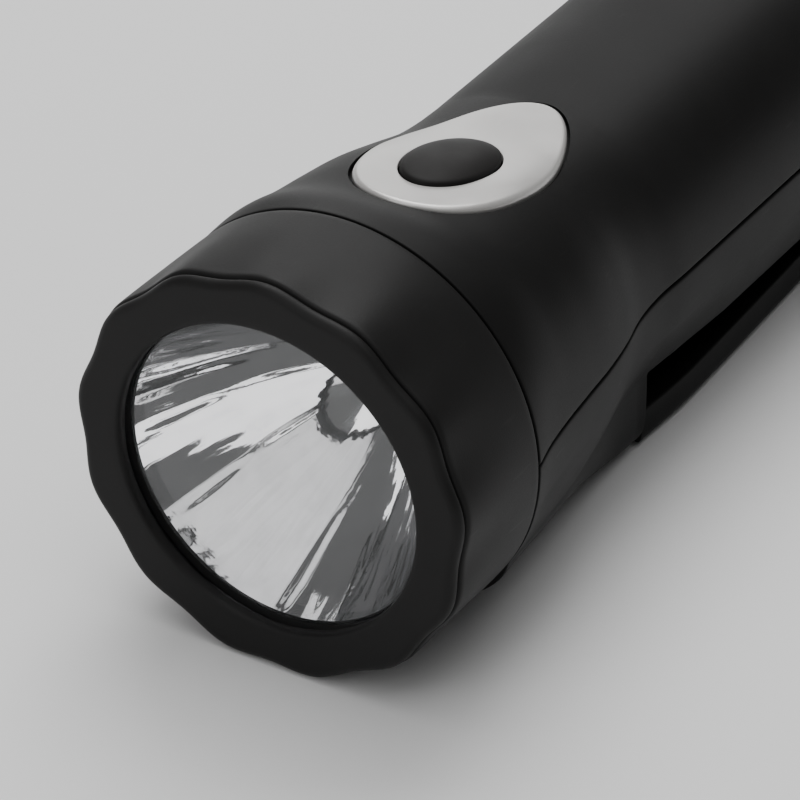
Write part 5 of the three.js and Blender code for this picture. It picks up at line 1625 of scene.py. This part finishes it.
@dataclass(frozen=True)
class Housing:
    """The upper and lower shells and the screws that hold them together."""

    switch: Switch
    neck_wall: float = 2.2
    bulkhead_hole: float = 9.0
    screw_half_span: float = 13.2
    screw_front: float = 12.25
    screw_back: float = 17.5
    screw_reach: float = 8.0
    boss_radius: float = 3.4
    screw: ScrewSize = ScrewSize(2.2, 1.15, 1.1, 22.7)
    seat_gaps: float = 1.5  # clearances over and under a screw's head
    post_half_span: float = 6.0
    post_front: float = 17.25
    post_back: float = 16.5
    post_radius: float = 2.4
    post_hole: float = 1.2
    post_hole_bottom: float = -7.5
    axle_boss_radius: float = 2.6
    axle_radius: float = 1.0
    axle_sink: float = 1.3
    board_post_x: float = 9.4
    board_post_y: float = 13.2
    board_post_radius: float = 2.2
    board_hole: float = 1.1
    board_depth: float = 12.5
    board_hole_top: float = -9.6
    hub_radius: float = 13.2
    bush_hole: float = 6.3

    @property
    def screw_places(self) -> list[tuple[float, float]]:
        """Where the shell screws stand, in plan."""
        rows = (TORCH.rotor_y - self.screw_front, TORCH.hub_y + self.screw_back)
        return [(side * self.screw_half_span, y) for y in rows for side in (-1, 1)]

    @property
    def post_places(self) -> list[tuple[float, float]]:
        """Where the posts under the gear plate stand, in plan."""
        rows = (TORCH.rotor_y - self.post_front, TORCH.hub_y + self.post_back)
        return [(side * self.post_half_span, y) for y in rows for side in (-1, 1)]

    def bay(self, wall: float) -> Solid:
        """The space that the crank's arm sweeps, grown by a wall."""
        bottom = TORCH.ground - 2 * TORCH.overrun
        radius, top = TORCH.bay_radius + wall, TORCH.roof + wall
        return rod(Axis.Z, radius, bottom, top, (0, TORCH.hub_y), Sides.BAY)

    def half_space(self, above: bool) -> Solid:
        """Everything above or below the parting line."""
        reach = TORCH.seam_radius + 2 * TORCH.overrun
        gap = TORCH.clearance / 2
        low, high = (TORCH.parting_height + gap, reach) if above else (-reach, TORCH.parting_height - gap)
        return block((-reach, -TORCH.overrun, low), (reach, TORCH.length + TORCH.overrun, high))

    def whole(self) -> Solid:
        """Both shells in one, hollow, before they are parted."""
        reach = TORCH.seam_radius
        wall, over = TORCH.wall, TORCH.overrun
        front, back = TORCH.bulkhead_front, TORCH.bulkhead_back
        wire_hole = rod(Axis.Y, self.bulkhead_hole, front - over, back + over)
        bulkhead = block((-reach, front, -reach), (reach, back, reach)).cut(wire_hole)
        hollow = BODY.solid(wall, TORCH.seam + wall, TORCH.length - wall).cut(self.bay(wall), bulkhead)
        neck = rod(Axis.Y, TORCH.neck_radius, TORCH.neck_front, TORCH.seam + wall, steps=Sides.NECK)
        bore = rod(Axis.Y, TORCH.neck_radius - self.neck_wall, TORCH.neck_front - over,
                   TORCH.seam + 2 * wall, steps=Sides.BORE)
        outer = BODY.solid(0, fineness=1.0, lips=True)
        return outer.cut(self.bay(0)).join(neck).cut(hollow, bore, *self.switch.recess())

    def upper(self, whole: Solid) -> Solid:
        """The upper shell with its screw bosses and the posts for the control board."""
        above = self.half_space(True)
        inside = BODY.solid(TORCH.wall / 2).keep(above)
        shell = whole.keep(above)
        parting = TORCH.parting_height
        bosses = [rod(Axis.Z, self.boss_radius, parting, TORCH.seam_radius, place).keep(inside)
                  for place in self.screw_places]
        places = [(side * self.board_post_x, self.board_post_y) for side in (-1, 1)]
        for place in places:
            post = rod(Axis.Z, self.board_post_radius, -self.board_depth + TORCH.clearance, 0, place)
            bosses.append(post.moved(SWITCH.matrix).keep(inside))
        top = parting + self.screw_reach + TORCH.overrun
        hole = self.screw.shank_radius + TORCH.clearance
        holes = [rod(Axis.Z, hole, 0, top, place, Sides.DRILL) for place in self.screw_places]
        under_board = -self.board_depth - TORCH.overrun
        for place in places:
            drill = rod(Axis.Z, self.board_hole, under_board, self.board_hole_top, place,
                        Sides.DRILL)
            holes.append(drill.moved(SWITCH.matrix))
        return shell.join(*bosses).cut(*holes)

    def lower(self, whole: Solid) -> Solid:
        """The lower shell with the crank's hub, its bosses, posts and holes."""
        below = self.half_space(False)
        inside = BODY.solid(0).cut(self.bay(0)).keep(below)
        middle = (TORCH.roof + TORCH.floor) / 2
        hub = (0, TORCH.hub_y)
        bottom = TORCH.arm_top + TORCH.clearance
        added = [rod(Axis.Z, self.hub_radius, bottom, middle, hub, Sides.HUB)]
        holes = []

        def drill(radius: float, bottom: float, top: float, place: Point) -> None:
            """Adds a fine hole."""
            holes.append(rod(Axis.Z, radius, bottom, top, place, Sides.DRILL))

        for place in self.screw_places:
            boss = rod(Axis.Z, self.boss_radius, TORCH.roof, TORCH.parting_height, place)
            added.append(boss.keep(inside))
            drill(self.screw.shank_radius + TORCH.clearance, TORCH.roof, TORCH.parting_height, place)
            head = self.screw.head_radius + TORCH.clearance
            head_top = TORCH.roof + self.screw.head_height + self.seat_gaps * TORCH.clearance
            holes.append(rod(Axis.Z, head, TORCH.roof - TORCH.overrun, head_top, place))
        for place in self.post_places:
            post_top = TORCH.gear_plate_bottom - TORCH.clearance
            added.append(rod(Axis.Z, self.post_radius, middle, post_top, place))
            drill(self.post_hole, self.post_hole_bottom, TORCH.gear_plate_top, place)
        axles = (
            (TORCH.first_gear_y, TORCH.crank_gear_bottom),
            (TORCH.second_gear_y, TORCH.first_wheel_bottom),
            (TORCH.rotor_y, TORCH.second_wheel_bottom),
        )
        for y, top in axles:
            added.append(rod(Axis.Z, self.axle_boss_radius, middle, top - TORCH.clearance, (0, y)))
            drill(self.axle_radius + TORCH.clearance, TORCH.floor - self.axle_sink, top, (0, y))
        holes.append(rod(Axis.Z, self.bush_hole, TORCH.ground, TORCH.floor + TORCH.overrun, hub))
        return whole.keep(below).join(*added).cut(*holes)

    def build(self, maker: ScrewMaker, tree: GeometryTree) -> None:
        """Builds and places the shells and their screws.

        Args:
            maker: Makes the screws.
            tree: The screws' tree.
        """
        whole = self.whole()
        place_piece("upper_half", "upper_shell", "body_plastic", self.upper(whole), Sharp.CASE)
        place_piece("lower_half", "lower_shell", "body_plastic", self.lower(whole), Sharp.CASE)
        for number, (x, y) in enumerate(self.screw_places, 1):
            seat = Matrix.Translation((x, y, TORCH.roof + TORCH.clearance / 2))
            place_piece(f"case_screw_{number}", f"shell_screw_{number}", "screw_steel",
                        maker.screw(tree, self.screw, seat))


@dataclass(frozen=True)
class Crank:
    """The folding arm with its screw and its knob."""

    reach: float = 66.9
    half_width: float = 15.6
    tip_half_width: float = 15.2
    hub_radius: float = 13.2
    bottom_round: float = 2.3
    top_round: float = 0.35
    pocket_rim: float = 2.2
    floor: float = 2.0
    pocket_start: float = 0.18
    pocket_end: float = 0.72
    side_shares: Table = ((0.16, 1), (0.34, 0.975), (0.5, 0.945))
    pin_y: float = 71.7
    pin_z: float = -24.3
    pin_radius: float = 1.1
    pin_reach: float = 8.3
    barrel_radius: float = 2.6
    window_gap: float = 0.6
    knob_offset: float = 3.1
    knob_start: float = 5.0
    knob_length: float = 30.0
    knob_radius: float = 4.5
    knob_bore: float = 2.0
    cap_bore: float = 3.5
    cap_depth: float = 1.8
    rib_height: float = 0.4
    rib_sides: int = 10
    rib_free: float = 5.0  # of the sleeve's length, without ribs
    sleeve_edge: float = 0.6
    ribs: int = 20
    side_steps: int = 42
    tip_steps: int = 24
    hub_steps: int = 56
    bottom_rows: int = 10
    top_rows: int = 4
    shaft_radius: float = 4.0
    shaft_seat: float = 2.1
    screw: ScrewSize = ScrewSize(4.2, 1.0, 1.4, 6.0)

    def outline(self) -> np.ndarray:
        """The arm's plan about its hub, anticlockwise."""
        tip_angle = math.asin(self.tip_half_width / self.reach)
        tip_y = self.reach * math.cos(tip_angle)
        widths = ((0, self.tip_half_width),
                  *((along, share * self.half_width) for along, share in self.side_shares),
                  (1, self.hub_radius))
        side = np.array([(read_table(widths, t), -tip_y * (1 - t))
                         for t in np.linspace(0, 1, self.side_steps)[1:-1]])

        def arc(radius: float, start: float, end: float, steps: int) -> np.ndarray:
            """Points of an arc about the hub."""
            angle = np.linspace(start, end, steps)
            return np.column_stack([radius * np.cos(angle), radius * np.sin(angle)])

        tip = arc(self.reach, -QUARTER_TURN - tip_angle, -QUARTER_TURN + tip_angle, self.tip_steps)
        hub = arc(self.hub_radius, 0, math.pi, self.hub_steps)
        return np.vstack([hub, side[::-1] * (-1, 1), tip, side])

    def arm(self) -> Solid:
        """The arm with its pocket, the knob's window and its bores."""
        outline = self.outline()
        along = np.roll(outline, -1, axis=0) - np.roll(outline, 1, axis=0)
        along /= np.hypot(*along.T)[:, None]
        inward = np.column_stack([-along[:, 1], along[:, 0]])
        rows = []

        def row(inset: float, z: float) -> None:
            """Adds the outline, drawn in, at a height."""
            plan = outline + inward * inset + (0, TORCH.hub_y)
            rows.append(np.column_stack([plan, np.full(len(plan), z)]))

        for angle in np.linspace(0, QUARTER_TURN, self.bottom_rows):
            rise = self.bottom_round * (1 - math.cos(angle))
            row(self.bottom_round * (1 - math.sin(angle)), TORCH.ground + rise)
        for angle in np.linspace(0, QUARTER_TURN, self.top_rows):
            drop = self.top_round * (1 - math.sin(angle))
            row(self.top_round * (1 - math.cos(angle)), TORCH.arm_top - drop)
        arm = loft(np.array(rows))
        over, gap, hub = TORCH.overrun, TORCH.clearance, (0, TORCH.hub_y)
        pocket = self.tip_half_width - self.pocket_rim
        window = self.knob_radius + self.window_gap
        knob_reach = math.hypot(self.knob_start + self.knob_length, self.knob_offset + self.knob_radius)
        top, under = TORCH.arm_top + over, TORCH.ground - over
        head = self.screw.head_radius + gap
        head_top = TORCH.ground + self.screw.head_height + 2 * gap
        shaft_end = TORCH.arm_top - self.shaft_seat - gap
        pin = (self.pin_y, self.pin_z)
        return arm.cut(
            block((-pocket, TORCH.hub_y - self.reach * (1 - self.pocket_start), TORCH.ground + self.floor),
                  (pocket, TORCH.hub_y - self.reach * (1 - self.pocket_end), top)),
            block((-window, self.pin_y - self.barrel_radius - self.window_gap, under),
                  (window, self.pin_y + knob_reach + self.window_gap, top)),
            rod(Axis.X, self.pin_radius + gap, -self.pin_reach, self.pin_reach, pin, Sides.PIN),
            rod(Axis.Z, self.shaft_radius + gap, shaft_end, top, hub),
            rod(Axis.Z, self.screw.shank_radius + gap, under, TORCH.arm_top, hub, Sides.PIN),
            rod(Axis.Z, head, under, head_top, hub),
        )

    def sleeve(self) -> Solid:
        """The knob's sleeve: a turned grip with ribs along it, made by geometry nodes."""
        start = self.pin_y + self.knob_start
        end = start + self.knob_length
        centre = (0, self.pin_z + self.knob_offset)
        core, edge = self.knob_radius - self.rib_height, self.sleeve_edge
        cap_seat = end - self.cap_depth
        body = turned([
            (self.knob_bore, start), (core - edge, start), (core - edge / 3, start + edge / 3),
            (core, start + edge), (core, end - edge), (core - edge / 3, end - edge / 3),
            (core - edge, end), (self.cap_bore, end), (self.cap_bore, cap_seat),
            (self.knob_bore, cap_seat),
        ], Axis.Y, centre, Sides.GRIP)
        sizes = {
            "Ribs": self.ribs, "Rib Width": 2 * self.rib_height,
            "Rib Length": self.knob_length - self.rib_free, "Ring Radius": core,
            "Middle": (start + end) / 2, "Height": centre[1],
        }
        tree = GeometryTree("knob_ribs", sizes)
        width, length = tree.value("Rib Width"), tree.value("Rib Length")
        rib = tree.add("GeometryNodeMeshCylinder", sockets={
            "Vertices": self.rib_sides, "Radius": width * 0.5, "Depth": length,
        })
        ring = tree.add("GeometryNodeMeshCircle", sockets={
            "Vertices": tree.value("Ribs"), "Radius": tree.value("Ring Radius"),
        })
        ribs = tree.add("GeometryNodeInstanceOnPoints", sockets={"Points": ring, "Instance": rib})
        ribs = tree.add("GeometryNodeRealizeInstances", sockets={0: ribs})
        ribs = tree.add("GeometryNodeTransform", sockets={
            "Geometry": ribs, "Rotation": (QUARTER_TURN, 0.0, 0.0),
            "Translation": tree.vector(y=tree.value("Middle"), z=tree.value("Height")),
        })
        tree.end(tree.union([tree.value("Geometry"), ribs]), "knob_plastic")
        return tree.run(body, sizes)

    def build(self, maker: ScrewMaker, tree: GeometryTree) -> None:
        """Builds and places the crank's outer pieces.

        Args:
            maker: Makes the screw.
            tree: The screw's tree.
        """
        place_piece("folding_arm", "crank_arm", "body_plastic", self.arm(), Sharp.CASE)
        place_piece("ribbed_grip", "knob_sleeve", "knob_plastic", self.sleeve(), Sharp.GRIP)
        seat = Matrix.Translation((0, TORCH.hub_y, TORCH.ground + TORCH.clearance))
        place_piece("pivot_screw", "crank_screw", "screw_steel", maker.screw(tree, self.screw, seat))


@dataclass(frozen=True)
class InnerWorks:
    """The CAD nodes that stay as they are and get their finish."""

    slots: dict[str, tuple[str, ...]] = field(default_factory=lambda: {
        "black_rubber": ("lens_gasket",),
        "lamp_glass": ("led_emitter",),
        "board_aluminium": ("led_board",),
        "heat_sink_aluminium": ("led_heat_sink",),
        "inner_plastic": ("switch_plunger", "switch_housing", "battery_tray", "knob_post",
                          "gearbox_plate"),
        "board_green": ("control_board",),
        "component_sleeve": ("storage_capacitor", "rectifier_bridge"),
        "cell_nickel": ("battery_cell_1", "battery_cell_2", "battery_cell_3"),
        "screw_steel": ("board_screw_1", "board_screw_2", "gearbox_screw_1", "gearbox_screw_2",
                        "gearbox_screw_3", "gearbox_screw_4"),
        "wire_cover": ("led_wire", "battery_wire", "generator_wire"),
        "shaft_steel": ("crank_shaft", "gear_axle_1", "gear_axle_2", "rotor_shaft", "knob_pin"),
        "gear_nylon": ("crank_gear", "compound_gear_1", "compound_gear_2"),
        "bush_brass": ("crank_bush", "rotor_pinion"),
        "stator_steel": ("stator_cup_lower", "stator_cup_upper"),
        "coil_copper": ("stator_coil",),
        "magnet_ferrite": ("rotor_magnet",),
        "body_plastic": ("knob_cap",),
    })

    def build(self) -> None:
        """Gives each node its material."""
        for slot, nodes in self.slots.items():
            for name in nodes:
                node = frame["nodes"][name]
                for place in node.material_slots:
                    place.material = material_for(slot)
                LOG.info("%s in %s", name, slot)


# Floor, light and camera


@dataclass(frozen=True)
class Panel:
    """A soft light: where it stands and looks, in metres, and its size and strength."""

    name: str
    place: Colour
    target: Colour
    width: float
    height: float
    watts: float

    def build(self) -> None:
        """Hangs the light."""
        light = bpy.data.lights.new(self.name, "AREA")
        light.shape = "RECTANGLE"
        light.size, light.size_y = self.width, self.height
        light.energy = self.watts
        lamp = bpy.data.objects.new(self.name, light)
        lamp.location = self.place
        aim = Vector(self.target) - Vector(self.place)
        lamp.rotation_euler = aim.to_track_quat("-Z", "Y").to_euler()
        bpy.context.scene.collection.objects.link(lamp)


@dataclass(frozen=True)
class Studio:
    """A pale floor, soft panels and the camera."""

    floor_half: float = 2.5
    floor_colour: Colour = (0.78, 0.78, 0.78)
    floor_cloud: float = 60.0
    floor_tint: float = 0.02
    floor_roughness: float = 0.8
    floor_gloss: float = 0.1
    world: float = 0.1
    azimuth: float = 0.5575952
    elevation: float = 0.5848589
    camera_place: Colour = (0.33297, -0.58294, 0.43857)
    lens: float = 271.88
    sensor_width: float = 36.0
    clip_start: float = 0.01
    panels: tuple[Panel, ...] = (
        Panel("key", (-0.4, 0.65, 1.2), (0.0, 0.0, 0.0), 1.0, 1.0, 17.0),
        Panel("top", (0.1, -0.1, 1.5), (0.0, 0.0, 0.0), 1.6, 1.6, 15.0),
        Panel("back_left", (-0.65, 1.0, 0.25), (0.0, 0.0, 0.0), 0.6, 0.4, 1.6),
        Panel("front_left", (-0.197, -1.061, 0.56), (0.0, -0.08, 0.03), 0.8, 1.1, 4.7),
        Panel("front_spot", (0.825, -0.556, 0.671), (0.0, -0.08, 0.03), 0.25, 0.3, 0.22),
    )

    def build_floor(self) -> None:
        """Lays the floor: a wide sheet that isn't part of the torch."""
        half = self.floor_half
        corners = [(-half, -half, 0), (half, -half, 0), (half, half, 0), (-half, half, 0)]
        mesh = bpy.data.meshes.new("floor")
        mesh.from_pydata(corners, [], [(0, 1, 2, 3)])
        shader = Shader("floor_paint")
        cloud = shader.noise(self.floor_cloud, 3.0)
        mesh.materials.append(shader.finish(
            Base_Color=shader.clouded(cloud, self.floor_colour, self.floor_tint),
            Roughness=self.floor_roughness + shader.swing(cloud, self.floor_gloss),
        ))
        floor = bpy.data.objects.new("floor", mesh)
        bpy.context.scene.collection.objects.link(floor)

    def build_camera(self) -> None:
        """Sets up the camera at the photograph's angle."""
        data = bpy.data.cameras.new("camera")
        data.lens = self.lens
        data.sensor_width = self.sensor_width
        data.clip_start = self.clip_start
        camera = bpy.data.objects.new("camera", data)
        level, rise = math.cos(self.elevation), math.sin(self.elevation)
        right = Vector((math.cos(self.azimuth), math.sin(self.azimuth), 0))
        back = Vector((right.y * level, -right.x * level, rise))
        turn = Matrix((right, back.cross(right), back)).transposed().to_4x4()
        camera.matrix_world = Matrix.Translation(self.camera_place) @ turn
        bpy.context.scene.collection.objects.link(camera)
        bpy.context.scene.camera = camera

    def build(self) -> None:
        """Builds the studio."""
        world = bpy.data.worlds.new("studio")
        world.use_nodes = True
        backdrop = world.node_tree.nodes["Background"].inputs
        backdrop["Color"].default_value = (1.0, 1.0, 1.0, 1.0)
        backdrop["Strength"].default_value = self.world
        bpy.context.scene.world = world
        for panel in self.panels:
            panel.build()
        self.build_floor()
        self.build_camera()


def main() -> None:
    """Builds the torch and its studio."""
    logging.basicConfig(level=logging.INFO, format="%(message)s")
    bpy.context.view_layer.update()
    Studio().build()
    Head().build()
    switch = Switch()
    switch.build()
    maker = ScrewMaker()
    screw_tree = maker.tree()
    Housing(switch).build(maker, screw_tree)
    Crank().build(maker, screw_tree)
    InnerWorks().build()


if __name__ == "__main__":
    main()
